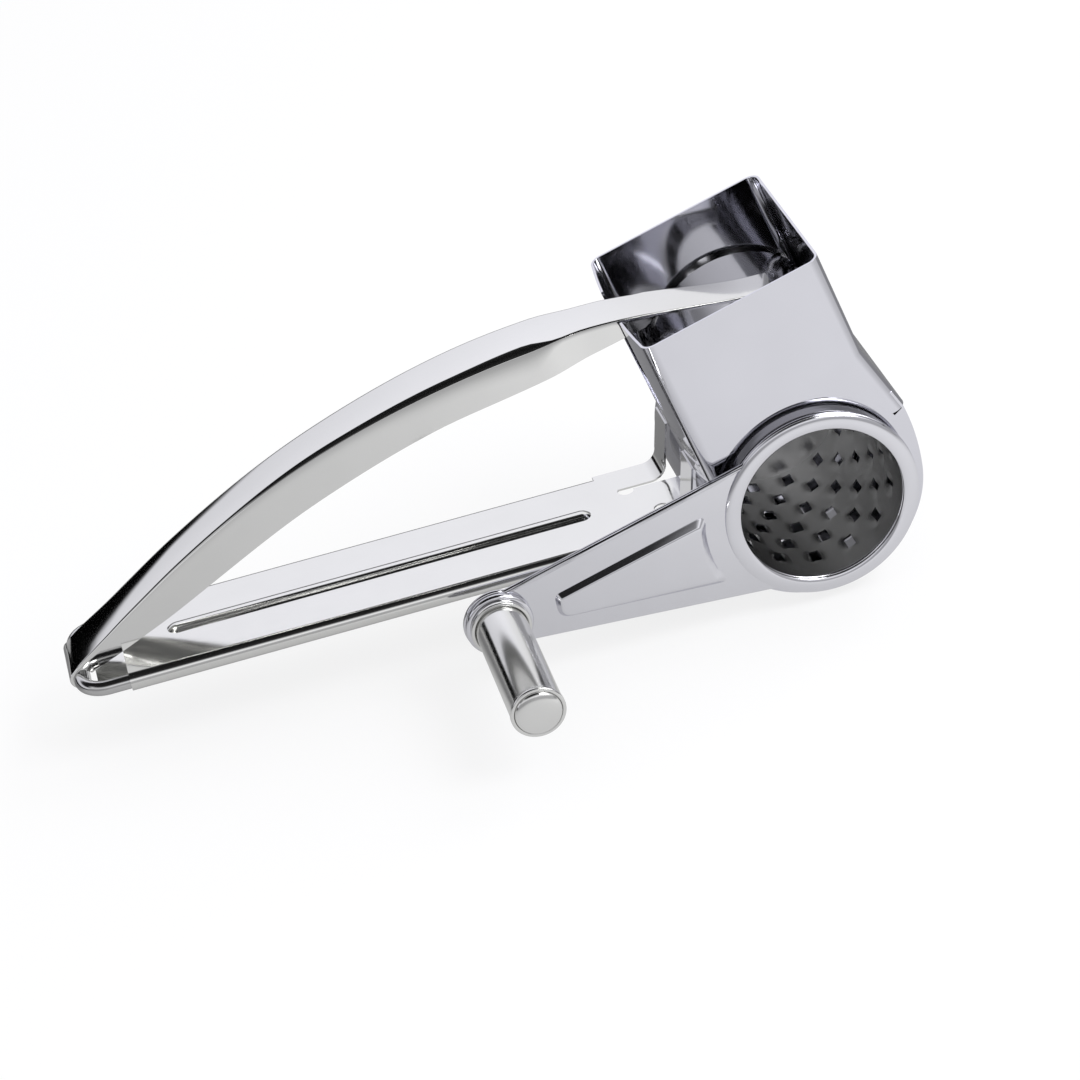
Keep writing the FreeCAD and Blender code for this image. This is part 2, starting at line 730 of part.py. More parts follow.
def pusher_plate():
    """The arched plate, drawn seated on the drum and then lifted with the handle."""
    inner = S.drum_radius + S.pusher_gap
    outer = inner + S.pusher_sheet
    front = 90 - S.pusher_front_angle
    rear = 90 + S.pusher_rear_angle
    arch = prism([
        arc(outer, front, rear),
        Part.makeLine(on_circle(outer, rear), on_circle(inner, rear)),
        arc(inner, rear, front),
        Part.makeLine(on_circle(inner, front), on_circle(outer, front)),
    ], pusher_half_depth())
    arch = arch.common(pusher_room()).removeSplitter()
    arch.rotate(HINGE, ACROSS, -S.press_rest_angle)
    return arch


def pusher_room():
    """The space the seated pusher may fill and still swing up between the hopper's end walls."""
    pivot = HINGE.x * math.cos(LEAN) + HINGE.z * math.sin(LEAN)
    reach = FRONT - S.hopper_sheet - S.pusher_end_gap - pivot
    swing = rod_along_y(reach, -WALL, WALL)
    swing.translate(HINGE)
    rear = REAR + S.hopper_sheet + S.pusher_end_gap
    inside = Part.makeBox(S.hopper_width, S.hopper_depth, 2 * S.hopper_top,
                          Vector(rear, -WALL, -S.hopper_top))
    inside.rotate(Vector(0, 0, 0), ACROSS, -S.hopper_lean)
    return swing.common(inside)


def pusher_saddle():
    """The small block between the neck's end and the pusher's crown."""
    top = crown() + point(0, S.saddle_height)
    half = S.saddle_length / 2
    radius = S.drum_radius + S.pusher_gap + S.pusher_sheet
    block = Part.makeBox(S.saddle_length, 2 * S.neck_end_half_width, radius,
                         Vector(top.x - half, -S.neck_end_half_width, top.z - radius))
    arch = rod_along_y(radius, -2 * radius, 2 * radius)
    arch.translate(crown() - point(0, radius))
    return block.cut(arch)


# ---------------------------------------------------------------- drum

def grating_drum():
    outer, inner = S.drum_radius, S.drum_radius - S.drum_sheet
    near = -WALL - S.crank_gap
    far = RING - S.ring_sheet - S.drum_back_gap
    tube = rod_along_y(outer, near, far).cut(rod_along_y(inner, near, far))
    first = near + S.drum_rim_length + S.slot_length
    last = far - S.slot_length
    rows = int(S.slots_along)
    columns = int(S.slots_around)
    pitch = (last - first) / (rows - 1)
    cutters = []
    for column in range(columns):
        for row in range(rows):
            turn = 360 / columns * (column + 0.5 * (row % 2))
            cutter = Part.makeBox(
                3 * S.drum_sheet, S.slot_length, S.slot_width,
                Vector(inner - S.drum_sheet, first + row * pitch - S.slot_length / 2,
                       -S.slot_width / 2))
            cutter.rotate(Vector(0, 0, 0), ACROSS, turn)
            cutters.append(cutter)
    return tube.cut(Part.makeCompound(cutters))


# ---------------------------------------------------------------- the pieces of the frame

AT_AXIS = Placement(AXIS, Rotation())
LEANING = Placement(AXIS, Rotation(ACROSS, -S.hopper_lean))
AT_HINGE = Placement(AXIS + HINGE, Rotation())

hopper_shape = hopper_shell()
shaped("hopper_shell", hopper_shape, LEANING)
shaped("drum_housing", drum_housing(hopper_shape), LEANING)
shaped("lower_handle", lower_handle(), AT_AXIS)
shaped("handle_bow", handle_bow(), AT_AXIS)

turned("front_ring", [
    (COLLAR_INNER_X, f"-({RING_X} - Sizes.ring_sheet)"),
    (COLLAR_INNER_X, f"-({WALL_X} + Sizes.ring_collar_reach)"),
    ("Sizes.housing_mouth_radius", f"-({WALL_X} + Sizes.ring_collar_reach)"),
    ("Sizes.housing_mouth_radius", f"-{RING_X}"),
    ("Sizes.housing_mouth_radius + Sizes.ring_flange_width - Sizes.housing_sheet", f"-{RING_X}"),
    ("Sizes.housing_mouth_radius + Sizes.ring_flange_width - Sizes.housing_sheet",
     f"-({RING_X} - Sizes.ring_sheet)"),
])
turned("back_plate", [
    ("Sizes.hub_radius + Sizes.bearing_clearance", f"{BACK_PLATE_X} - Sizes.hub_collar_length"),
    ("Sizes.hub_radius + Sizes.bearing_clearance + Sizes.hub_collar_wall",
     f"{BACK_PLATE_X} - Sizes.hub_collar_length"),
    ("Sizes.hub_radius + Sizes.bearing_clearance + Sizes.hub_collar_wall", BACK_PLATE_X),
    (BACK_PLATE_RADIUS_X, BACK_PLATE_X),
    (BACK_PLATE_RADIUS_X, RING_X),
    ("Sizes.hub_radius + Sizes.bearing_clearance", RING_X),
])

# ---------------------------------------------------------------- the pieces of the press arm

shaped("press_handle", press_handle(), AT_HINGE)
shaped("pusher_plate", pusher_plate(), AT_AXIS)
shaped("pusher_saddle", pusher_saddle(), AT_HINGE)

# ---------------------------------------------------------------- the pieces of the drum

shaped("grating_drum", grating_drum(), AT_AXIS)
turned("drum_rim", ring_corners(
    "Sizes.drum_radius", RIM_OUTER_X,
    f"-{CRANK_BACK_X}", f"-({CRANK_BACK_X} - Sizes.drum_rim_length)"))
turned("drum_disc", ring_corners(
    "Sizes.hub_radius", "Sizes.drum_radius - Sizes.drum_sheet",
    f"{DRUM_END_X} - Sizes.drum_sheet", DRUM_END_X))
turned("hub_washer", ring_corners(
    "Sizes.hub_radius", "Sizes.hub_washer_radius",
    f"{RING_X} + Sizes.bearing_clearance",
    f"{RING_X} + Sizes.bearing_clearance + Sizes.hub_washer"))
CLIP_LOW = f"{RING_X} + 2 * Sizes.bearing_clearance + Sizes.hub_washer"
CLIP_HIGH = f"{CLIP_LOW} + Sizes.hub_clip"
GROOVE_X = "Sizes.hub_radius - Sizes.hub_groove_depth"
turned("hub_clip", ring_corners(GROOVE_X, "Sizes.hub_clip_radius", CLIP_LOW, CLIP_HIGH))
HUB_BACK = f"{DRUM_END_X} - Sizes.drum_sheet"
HUB_TIP = f"{CLIP_HIGH} + Sizes.hub_clip / 2"
hub_profile = [
    ("0", f"{HUB_BACK} - Sizes.hub_head"),
    ("Sizes.hub_head_radius", f"{HUB_BACK} - Sizes.hub_head"),
    ("Sizes.hub_head_radius", HUB_BACK),
    ("Sizes.hub_radius", HUB_BACK),
    ("Sizes.hub_radius", CLIP_LOW),
    (GROOVE_X, CLIP_LOW),
    (GROOVE_X, CLIP_HIGH),
    ("Sizes.hub_radius", CLIP_HIGH),
    ("Sizes.hub_radius", HUB_TIP),
    ("0", HUB_TIP),
]
turned("hub_pin", hub_profile)

# ---------------------------------------------------------------- crank


def crank_plate():
    """The crank: a ring round the drum's mouth and a tapered arm in one sheet."""
    body = new_body("crank_plate", AXIS_X)
    ring = circle_sketch(body, "crank_ring", "XZ_Plane", "Sizes.crank_ring_radius",
                         offset=CRANK_BACK_X)
    pad(body, ring, "Sizes.crank_sheet", "crank_ring_pad")
    end = ("-Sizes.spindle_run", "-Sizes.spindle_drop")
    eye = circle_sketch(body, "crank_eye", "XZ_Plane", "Sizes.collar_radius", end, CRANK_BACK_X)
    pad(body, eye, "Sizes.crank_sheet", "crank_eye_pad")
    radius = "Sizes.crank_ring_radius"
    top = "(90 + Sizes.crank_arm_joins_at)"
    low = "(270 - Sizes.crank_arm_leaves_at)"
    arm = polygon_sketch(body, "crank_arm", "XZ_Plane", [
        ("-Sizes.spindle_run", "Sizes.crank_arm_above - Sizes.spindle_drop"),
        (f"{radius} * cos({top} * 1deg)", f"{radius} * sin({top} * 1deg)"),
        ("0", "0"),
        (f"{radius} * cos({low} * 1deg)", f"{radius} * sin({low} * 1deg)"),
        ("-Sizes.spindle_run", "-Sizes.crank_arm_below - Sizes.spindle_drop"),
    ], CRANK_BACK_X)
    pad(body, arm, "Sizes.crank_sheet", "crank_arm_pad")
    panel_edge = "Sizes.panel_radius"
    panel = polygon_sketch(body, "crank_panel", "XZ_Plane", [
        ("-Sizes.spindle_run + Sizes.panel_tip", "Sizes.panel_margin / 3 - Sizes.spindle_drop"),
        (f"{panel_edge} * cos(169deg)", f"{panel_edge} * sin(169deg)"),
        (f"{panel_edge} * cos(179deg)", f"{panel_edge} * sin(179deg)"),
        (f"{panel_edge} * cos(192deg)", f"{panel_edge} * sin(192deg)"),
        (f"{panel_edge} * cos(208deg)", f"{panel_edge} * sin(208deg)"),
        ("-Sizes.spindle_run + Sizes.panel_tip", "-Sizes.panel_margin - Sizes.spindle_drop"),
    ], CRANK_FACE_X)
    pad(body, panel, "Sizes.panel_height", "crank_panel_pad")
    for name, size, centre in (("crank_mouth", "Sizes.crank_mouth_radius", None),
                               ("spindle_hole", "Sizes.spindle_radius", end)):
        hole = circle_sketch(body, name, "XZ_Plane", size, centre, CRANK_BACK_X)
        doc.recompute()
        before = body.Shape.Volume
        pocket = body.newObject("PartDesign::Pocket", f"{name}_pocket")
        pocket.Profile = hole
        pocket.Type = "ThroughAll"
        pocket.Midplane = True
        doc.recompute()
        if body.Shape.Volume >= before:
            raise RuntimeError(f"{name} cuts nothing")
    return body


crank_plate()

turned("crank_collar", [
    ("Sizes.spindle_radius", f"-{CRANK_FACE_X}"),
    ("Sizes.collar_radius", f"-{CRANK_FACE_X}"),
    ("Sizes.collar_radius", f"-({COLLAR_FACE_X} - Sizes.collar_edge)"),
    ("Sizes.collar_radius - Sizes.collar_edge", f"-{COLLAR_FACE_X}"),
    ("Sizes.spindle_radius", f"-{COLLAR_FACE_X}"),
], SPINDLE_X)
turned("spindle_washer", ring_corners(
    "Sizes.spindle_radius", "Sizes.spindle_washer_radius",
    f"-({CRANK_BACK_X} - Sizes.spindle_washer)", f"-{CRANK_BACK_X}"), SPINDLE_X)
SPINDLE_TIP = f"({KNOB_END_X} - Sizes.knob_ring_width - Sizes.knob_sheet)"
RIVET = f"({CRANK_BACK_X} - Sizes.spindle_washer)"
turned("knob_spindle", [
    ("0", f"-({RIVET} - Sizes.spindle_head)"),
    ("Sizes.spindle_head_radius", f"-({RIVET} - Sizes.spindle_head)"),
    ("Sizes.spindle_head_radius", f"-{RIVET}"),
    ("Sizes.spindle_radius", f"-{RIVET}"),
    ("Sizes.spindle_radius", f"-({SPINDLE_TIP} - Sizes.spindle_head)"),
    ("Sizes.spindle_head_radius", f"-({SPINDLE_TIP} - Sizes.spindle_head)"),
    ("Sizes.spindle_head_radius", f"-{SPINDLE_TIP}"),
    ("0", f"-{SPINDLE_TIP}"),
], SPINDLE_X)

# ---------------------------------------------------------------- knob

TUBE_INNER = "(Sizes.knob_radius - Sizes.knob_sheet)"
TUBE_END = f"({KNOB_END_X} - Sizes.knob_ring_width)"
turned("knob_base_ring", ring_corners(
    "Sizes.knob_radius", "Sizes.knob_base_radius",
    f"-{KNOB_BASE_X}", f"-({KNOB_BASE_X} + Sizes.knob_base_width)"), SPINDLE_X)
turned("knob_tube", ring_corners(
    TUBE_INNER, "Sizes.knob_radius", f"-{KNOB_BASE_X}", f"-{TUBE_END}"), SPINDLE_X)
turned("knob_end_ring", [
    ("Sizes.knob_cap_radius", f"-{TUBE_END}"),
    ("Sizes.knob_ring_radius", f"-{TUBE_END}"),
    ("Sizes.knob_ring_radius", f"-({KNOB_END_X} - Sizes.knob_ring_width / 3)"),
    ("Sizes.knob_ring_radius - Sizes.knob_ring_width / 3", f"-{KNOB_END_X}"),
    ("Sizes.knob_cap_radius", f"-{KNOB_END_X}"),
], SPINDLE_X)


def knob_end_cap():
    """The domed cap pressed into the end ring."""
    rim, dome, sheet_wall = S.knob_cap_radius, S.knob_cap_dome, S.knob_sheet
    sphere = (rim ** 2 + dome ** 2) / (2 * dome)
    edge = -(KNOB_END - S.knob_ring_width)
    top = -(KNOB_END + dome)
    dished = Part.makeSphere(sphere, Vector(0, top + sphere, 0))
    plug = rod_along_y(rim, top - 1, edge).common(dished)
    inside = rod_along_y(rim - sheet_wall, top - 1, edge)
    inner_dome = Part.makeSphere(sphere - sheet_wall, Vector(0, top + sphere, 0))
    return plug.cut(inside.common(inner_dome))


def knob_bushes():
    """Two bushes in the tube, one at each end, that turn on the spindle."""
    outer = S.knob_radius - S.knob_sheet
    inner = S.spindle_radius + S.bearing_clearance
    base = -(CRANK_FACE + S.collar_width + S.knob_play)
    tip = -(KNOB_END - S.knob_ring_width - S.knob_sheet - S.spindle_head - S.knob_play)
    bushes = []
    for low, high in ((base - S.knob_bush_width, base), (tip, tip + S.knob_bush_width)):
        bushes.append(rod_along_y(outer, low, high).cut(rod_along_y(inner, low, high)))
    return Part.makeCompound(bushes)


AT_SPINDLE = Placement(AXIS - point(S.spindle_run, S.spindle_drop), Rotation())
shaped("knob_end_cap", knob_end_cap(), AT_SPINDLE)
shaped("knob_bushes", knob_bushes(), AT_SPINDLE)

# ---------------------------------------------------------------- check and write

doc.recompute()
NODES = [
    "lower_handle", "handle_bow", "hopper_shell", "drum_housing", "front_ring", "back_plate",
    "press_handle", "pusher_plate", "pusher_saddle",
    "crank_plate", "crank_collar", "grating_drum", "drum_rim", "drum_disc", "hub_pin",
    "hub_washer", "hub_clip", "knob_spindle", "spindle_washer",
    "knob_tube", "knob_end_ring", "knob_end_cap", "knob_base_ring", "knob_bushes",
]
for item in doc.Objects:
    if "Invalid" in item.State or "Error" in item.State:
        raise RuntimeError(f"{item.Label} failed to build: {item.State}")
pieces = {label: doc.getObjectsByLabel(label)[0] for label in NODES}
for label, piece in pieces.items():
    if piece.Shape.isNull() or not piece.Shape.isValid():
        raise RuntimeError(f"{label} has no valid shape")
for label, piece in pieces.items():
    piece.Shape.exportStep(f"parts/{label}.step")
    print(f"{label}: {len(piece.Shape.Solids)} solid(s), {piece.Shape.Volume:.1f} mm3")
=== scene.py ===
import json
import math

import bmesh
import bpy
from mathutils import Matrix, Vector
from mathutils.geometry import tessellate_polygon

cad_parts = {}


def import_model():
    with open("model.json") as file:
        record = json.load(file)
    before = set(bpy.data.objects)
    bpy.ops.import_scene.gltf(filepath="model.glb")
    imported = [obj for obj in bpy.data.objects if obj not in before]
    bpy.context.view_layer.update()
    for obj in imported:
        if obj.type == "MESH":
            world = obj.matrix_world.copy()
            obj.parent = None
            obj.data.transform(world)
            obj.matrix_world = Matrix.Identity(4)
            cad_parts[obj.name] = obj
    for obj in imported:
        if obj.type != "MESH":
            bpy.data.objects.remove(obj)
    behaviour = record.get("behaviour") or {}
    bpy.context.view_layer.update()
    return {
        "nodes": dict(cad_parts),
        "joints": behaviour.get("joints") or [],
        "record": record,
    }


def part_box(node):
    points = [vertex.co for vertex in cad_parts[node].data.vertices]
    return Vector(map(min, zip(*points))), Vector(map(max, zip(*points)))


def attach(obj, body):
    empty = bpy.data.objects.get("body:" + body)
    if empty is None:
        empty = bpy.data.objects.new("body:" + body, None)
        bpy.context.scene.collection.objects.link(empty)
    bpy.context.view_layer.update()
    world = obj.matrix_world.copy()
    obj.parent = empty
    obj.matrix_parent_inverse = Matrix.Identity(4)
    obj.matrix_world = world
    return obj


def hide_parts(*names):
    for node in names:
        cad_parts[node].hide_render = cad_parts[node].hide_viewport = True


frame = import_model()

# Dressed model of a hand cranked drum shredder in polished stainless steel.
# Sizes below are in millimetres, and everything is placed from the frame's own joints and nodes.

MM = 0.001
TURN = 2 * math.pi
SAME_POINT = 1e-6  # metres


def joint_place(name):
    """A joint's place in the frame, in millimetres."""
    joint = next(item for item in frame["joints"] if item["name"] == name)
    return Vector(joint["pos_m"]) / MM


AXIS = joint_place("crank_turn")
HINGE = joint_place("press_hinge")
SPINDLE = joint_place("knob_spin")


def span(node):
    """A node's lowest and highest corners in millimetres."""
    low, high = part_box(node)
    return Vector(low) / MM, Vector(high) / MM


# ---------------------------------------------------------------- materials

# Metal's wear: how fine its clouds are, how much they darken it, and the grain's depth in metres.
CLOUD_SCALE, CLOUD_DETAIL = 90.0, 4.0
WORN_TONE = 0.94
GRAIN_DETAIL, GRAIN_DEPTH = 3.0, 0.00002
SPECK_SCALE, SPECK_DETAIL = 600.0, 2.0
PLASTIC_ROUGHNESS = (0.45, 0.60)


def node_material(name):
    material = bpy.data.materials.new(name)
    material.use_nodes = True
    shader = material.node_tree.nodes["Principled BSDF"]
    return material, material.node_tree, shader


def add(tree, kind, **settings):
    node = tree.nodes.new(kind)
    for key, value in settings.items():
        setattr(node, key, value)
    return node


def noise(tree, place, scale, detail):
    texture = add(tree, "ShaderNodeTexNoise")
    texture.inputs["Scale"].default_value = scale
    texture.inputs["Detail"].default_value = detail
    tree.links.new(place, texture.inputs["Vector"])
    return texture.outputs["Fac"]


def vary_roughness(tree, shader, pattern, low, high):
    """Let the shader's roughness follow a pattern between two values."""
    gloss = add(tree, "ShaderNodeMapRange")
    gloss.inputs["To Min"].default_value = low
    gloss.inputs["To Max"].default_value = high
    tree.links.new(pattern, gloss.inputs["Value"])
    tree.links.new(gloss.outputs["Result"], shader.inputs["Roughness"])


def steel(name, colour, roughness, smudge, grain, grain_scale):
    """Metal with faint cloudy wear in its gloss and a fine grain along one direction."""
    material, tree, shader = node_material(name)
    shader.inputs["Metallic"].default_value = 1.0
    place = add(tree, "ShaderNodeTexCoord").outputs["Object"]
    clouds = noise(tree, place, CLOUD_SCALE, CLOUD_DETAIL)
    vary_roughness(tree, shader, clouds, roughness, roughness + smudge)
    tint = add(tree, "ShaderNodeMix", data_type="RGBA")
    tint.inputs["A"].default_value = (*[part * WORN_TONE for part in colour], 1)
    tint.inputs["B"].default_value = (*colour, 1)
    tree.links.new(clouds, tint.inputs["Factor"])
    tree.links.new(tint.outputs["Result"], shader.inputs["Base Color"])
    stretch = add(tree, "ShaderNodeMapping")
    stretch.inputs["Scale"].default_value = grain_scale
    tree.links.new(place, stretch.inputs["Vector"])
    lines = noise(tree, stretch.outputs["Vector"], 1.0, GRAIN_DETAIL)
    bump = add(tree, "ShaderNodeBump")
    bump.inputs["Strength"].default_value = grain
    bump.inputs["Distance"].default_value = GRAIN_DEPTH
    tree.links.new(lines, bump.inputs["Height"])
    tree.links.new(bump.outputs["Normal"], shader.inputs["Normal"])
    return material


def plastic(name, colour):
    """Plastic with fine specks in its gloss."""
    material, tree, shader = node_material(name)
    place = add(tree, "ShaderNodeTexCoord").outputs["Object"]
    specks = noise(tree, place, SPECK_SCALE, SPECK_DETAIL)
    vary_roughness(tree, shader, specks, *PLASTIC_ROUGHNESS)
    shader.inputs["Base Color"].default_value = (*colour, 1)
    return material


POLISHED = steel("polished_sheet", (0.74, 0.74, 0.78), 0.08, 0.06, 0.15, (40, 900, 900))
PRESSED = steel("pressed_sheet", (0.79, 0.79, 0.78), 0.05, 0.04, 0.12, (30, 700, 700))
WALLS = steel("hopper_sheet", (0.71, 0.71, 0.76), 0.06, 0.05, 0.12, (700, 700, 40))
DRAWN = steel("drawn_rod", (0.62, 0.62, 0.62), 0.10, 0.06, 0.18, (40, 900, 900))
PLATE = steel("handle_plate", (0.78, 0.78, 0.765), 0.08, 0.05, 0.10, (30, 700, 700))
# The housing's front rim is painted dark steel: painted shade for the gap between the hopper wall
# and the crank's ring.
RIM_PAINTED_SHADE = steel("rim_sheet_painted_shade", (0.30, 0.30, 0.32), 0.10, 0.06, 0.15, (40, 900, 900))
# The pusher and its saddle are painted darker than the other sheets: painted shade for the inside
# of the hopper.
PUSHER_PAINTED_SHADE = steel("pusher_sheet", (0.56, 0.56, 0.57), 0.09, 0.06, 0.15, (700, 40, 700))
TURNED = steel("turned_knob", (0.77, 0.77, 0.76), 0.10, 0.08, 0.30, (900, 60, 900))
GRATED = steel("drum_sheet", (0.58, 0.58, 0.58), 0.20, 0.10, 0.40, (500, 60, 500))
SATIN = steel("satin_fitting", (0.56, 0.56, 0.56), 0.25, 0.10, 0.35, (600, 600, 600))
BUSH = plastic("bush_plastic", (0.86, 0.86, 0.84))


# ---------------------------------------------------------------- mesh helpers

def body_of(node):
    bodies = frame["record"]["behaviour"]["bodies"]
    return next(body for body, members in bodies.items() if node in members)


def finish_piece(piece, material, *nodes, crease=35):
    """Smooth the piece, give it its material, and let it stand for its nodes."""
    mesh = piece.data
    mesh.materials.clear()
    mesh.materials.append(material)
    for face in mesh.polygons:
        face.use_smooth = True
    mesh.set_sharp_from_angle(angle=math.radians(crease))
    even = piece.modifiers.new("normals", "WEIGHTED_NORMAL")
    even.keep_sharp = True
    even.weight = 80
    apply_modifiers(piece)
    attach(piece, body_of(nodes[0]))
    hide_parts(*nodes)
    return piece


def new_object(name, data):
    holder = bpy.data.objects.new(name, data)
    bpy.context.scene.collection.objects.link(holder)
    return holder


def edit(mesh, *changes):
    """Change a mesh's points and faces in place."""
    shape = bmesh.new()
    shape.from_mesh(mesh)
    for change in changes:
        change(shape)
    shape.to_mesh(mesh)
    shape.free()


def weld(shape):
    bmesh.ops.remove_doubles(shape, verts=shape.verts, dist=SAME_POINT)


def close_up(shape):
    """Drop loose edges and turn every face outwards."""
    loose = [edge for edge in shape.edges if not edge.link_faces]
    bmesh.ops.delete(shape, geom=loose, context="EDGES")
    bmesh.ops.recalc_face_normals(shape, faces=shape.faces)


def merge_flats(shape):
    bmesh.ops.dissolve_limit(shape, angle_limit=math.radians(0.5), verts=shape.verts,
                             edges=shape.edges, delimit={"NORMAL"})


def drop_slivers(shape):
    bmesh.ops.dissolve_degenerate(shape, dist=2 * SAME_POINT, edges=shape.edges)


def object_from(name, points, faces, origin):
    """An object whose points are in millimetres about an origin that is in millimetres too."""
    mesh = bpy.data.meshes.new(name)
    mesh.from_pydata([(origin + Vector(point)) * MM for point in points], [], faces)
    edit(mesh, weld, close_up)
    return new_object(name, mesh)


def evaluated_mesh(piece):
    bpy.context.view_layer.update()
    graph = bpy.context.evaluated_depsgraph_get()
    return bpy.data.meshes.new_from_object(piece.evaluated_get(graph))


def apply_modifiers(piece):
    baked = evaluated_mesh(piece)
    piece.modifiers.clear()
    piece.data = baked


def soften(piece, width):
    """Round the piece's sharp edges."""
    bevel = piece.modifiers.new("edges", "BEVEL")
    bevel.width = width * MM
    bevel.segments = 2
    bevel.limit_method = "ANGLE"
    bevel.angle_limit = math.radians(35)
    bevel.use_clamp_overlap = True
    apply_modifiers(piece)


def sheet_copy(node, material, width):
    """The node's own shape with its cut edges rounded, as sheet metal has after tumbling."""
    piece = new_object(f"{node}_skin", frame["nodes"][node].data.copy())
    edit(piece.data, weld, merge_flats)
    soften(piece, width)
    return finish_piece(piece, material, node)


FILLET_STEPS = 5
NEARLY_HALF = 0.49


def rounded(corners):
    """Corner points (across, along, fillet) turned into points with round fillets."""
    result = []
    count = len(corners)
    for index, (across, along, fillet) in enumerate(corners):
        corner = Vector((across, along))
        if fillet == 0:
            result.append(corner)
            continue
        before = Vector(corners[index - 1][:2]) - corner
        after = Vector(corners[(index + 1) % count][:2]) - corner
        half = before.angle(after) / 2
        reach = min(fillet / math.tan(half), NEARLY_HALF * min(before.length, after.length))
        start = corner + before.normalized() * reach
        end = corner + after.normalized() * reach
        for step in range(FILLET_STEPS + 1):
            share = step / FILLET_STEPS
            first = start.lerp(corner, share)
            second = corner.lerp(end, share)
            result.append(first.lerp(second, share))
    return result


def band_faces(count, first, second):
    """Faces between two loops of so many points, from the numbers of their first points."""
    faces = []
    for index in range(count):
        nearby = (index + 1) % count
        faces.append((first + index, first + nearby, second + nearby, second + index))
    return faces


TURNED_STEPS = 128


def turned(name, centre, corners):
    """A shape turned about the Y axis from (radius, along, fillet) corners."""
    profile = rounded(corners)
    count = len(profile)
    points = []
    faces = []
    for turn in range(TURNED_STEPS):
        angle = TURN * turn / TURNED_STEPS
        points += [(radius * math.cos(angle), along, radius * math.sin(angle))
                   for radius, along in profile]
        faces += band_faces(count, turn * count, (turn + 1) % TURNED_STEPS * count)
    return object_from(name, points, faces, centre)


def turned_piece(node, centre, corners, material):
    return finish_piece(turned(f"{node}_skin", centre, corners), material, node, crease=40)


def smooth_line(knots, per_span):
    """Points along a smooth curve through the knots (centripetal Catmull-Rom)."""
    ends = [2 * knots[0] - knots[1]] + list(knots) + [2 * knots[-1] - knots[-2]]
    line = []
    for index in range(len(knots) - 1):
        a, b, c, d = ends[index:index + 4]
        times = [0.0]
        for first, second in ((a, b), (b, c), (c, d)):
            times.append(times[-1] + math.sqrt((second - first).length))
        for step in range(per_span):
            now = times[1] + (times[2] - times[1]) * step / per_span
            line.append(catmull(a, b, c, d, times, now))
    line.append(knots[-1].copy())
    return line


def catmull(a, b, c, d, times, now):
    def blend(first, second, start, end):
        return first.lerp(second, (now - start) / (end - start))

    ab = blend(a, b, times[0], times[1])
    bc = blend(b, c, times[1], times[2])
    cd = blend(c, d, times[2], times[3])
    abc = blend(ab, bc, times[0], times[2])
    bcd = blend(bc, cd, times[1], times[3])
    return blend(abc, bcd, times[1], times[2])


def table(value, stops):
    """A value read smoothly from (place, value) stops."""
    if value <= stops[0][0]:
        return stops[0][1]
    for (low, first), (high, second) in zip(stops, stops[1:]):
        if value <= high:
            share = (value - low) / (high - low)
            share = share * share * (3 - 2 * share)
            return first + (second - first) * share
    return stops[-1][1]


# ---------------------------------------------------------------- press handle

PRESS_SHEET = 0.8
# The tail curls round the hinge, between turns in degrees.
CURL_OUTER = 2.67
CURL_START = 131
CURL_END = 328
CURL_STEPS = 16
TAIL_SLOPE = math.radians(41)
BACK_STEPS, FLANGE_STEPS = 14, 12  # between two knots
SADDLE_TOP = span("pusher_saddle")[1]
SADDLE_FRONT = SADDLE_TOP.x - HINGE.x
SADDLE_RISE = SADDLE_TOP.z - HINGE.z


def flat(run, rise):
    """A place or a direction in the handle's middle plane."""
    return Vector((run, rise))


def pointing(turn):
    return flat(math.cos(turn), math.sin(turn))


def back_knots():
    """Knots of the handle's back, from the curl up to the saddle."""
    angle = math.radians(CURL_START)
    start = flat(CURL_OUTER * math.cos(angle), CURL_OUTER * math.sin(angle))
    lead = start + pointing(TAIL_SLOPE) * 3
    end = flat(SADDLE_FRONT, SADDLE_RISE + PRESS_SHEET)
    return [start, lead, flat(29, 23.8), flat(64, 41.5), flat(104, 52.6), flat(138, 55.5),
            end + flat(-8, PRESS_SHEET / 4), end]


def flange_knots():
    """Knots of the flanges' lower edge."""
    angle = TAIL_SLOPE / 2
    start = flat(CURL_OUTER * math.cos(angle), CURL_OUTER * math.sin(angle))
    return [start, flat(22, 9.9), flat(61, 29), flat(94, 40.5), flat(122, 45.8),
            flat(150, SADDLE_RISE + 1.0)]


# Along the handle, as (run, value): half its width, the radius of its shoulders on the crank's side
# and on the far side, and how much lower the top is at its sides than in the middle.
HALF_WIDTHS = [(0, 7.4), (53, 7.3), (106, 8.0), (123, 7.8), (135, 6.4), (181, 4.7)]
SHOULDERS = [(0, 0.5), (14, 1.0), (40, 1.3), (70, 1.9), (100, 2.6), (119, 3.3), (128, 0.7),
             (150, 0.5), (181, 0.4)]
FAR_SHOULDERS = [(0, 0.5), (14, 2.6), (60, 2.6), (110, 1.6), (150, 1.0), (181, 0.5)]
CROWNS = [(0, 0.15), (10, 0.5), (20, 0.7), (64, 0.55), (100, 0.35), (118, 0.25), (150, 0.1),
          (181, 0.0)]
CURL_SHOULDERS = (0.35, 0.35)
LEAST_DEPTH = PRESS_SHEET + 0.03
ROUND_SHARE = 0.8  # of the half width or the depth, at most, that a side's rounding takes
TOP_STEPS = 6
# The top rounds over to a crease, below which the flange is nearly flat:
# (turn in degrees, radius as a share of the shoulder's).
SIDE_ARCS = [(48, 1.0), (77, 0.10), (88, 9.0)]
SIDE_STEPS = (8, 3, 6)


def drop_to(point, inward, border):
    """How far it is from a point, along a direction, to the border line."""
    best = None
    for first, second in zip(border, border[1:]):
        edge = second - first
        cross = inward.x * edge.y - inward.y * edge.x
        if abs(cross) < 1e-9:
            continue
        gap = first - point
        reach = (gap.x * edge.y - gap.y * edge.x) / cross
        share = (gap.x * inward.y - gap.y * inward.x) / cross
        if -1e-6 <= share <= 1 + 1e-6 and reach > 0 and (best is None or reach < best):
            best = reach
    return best


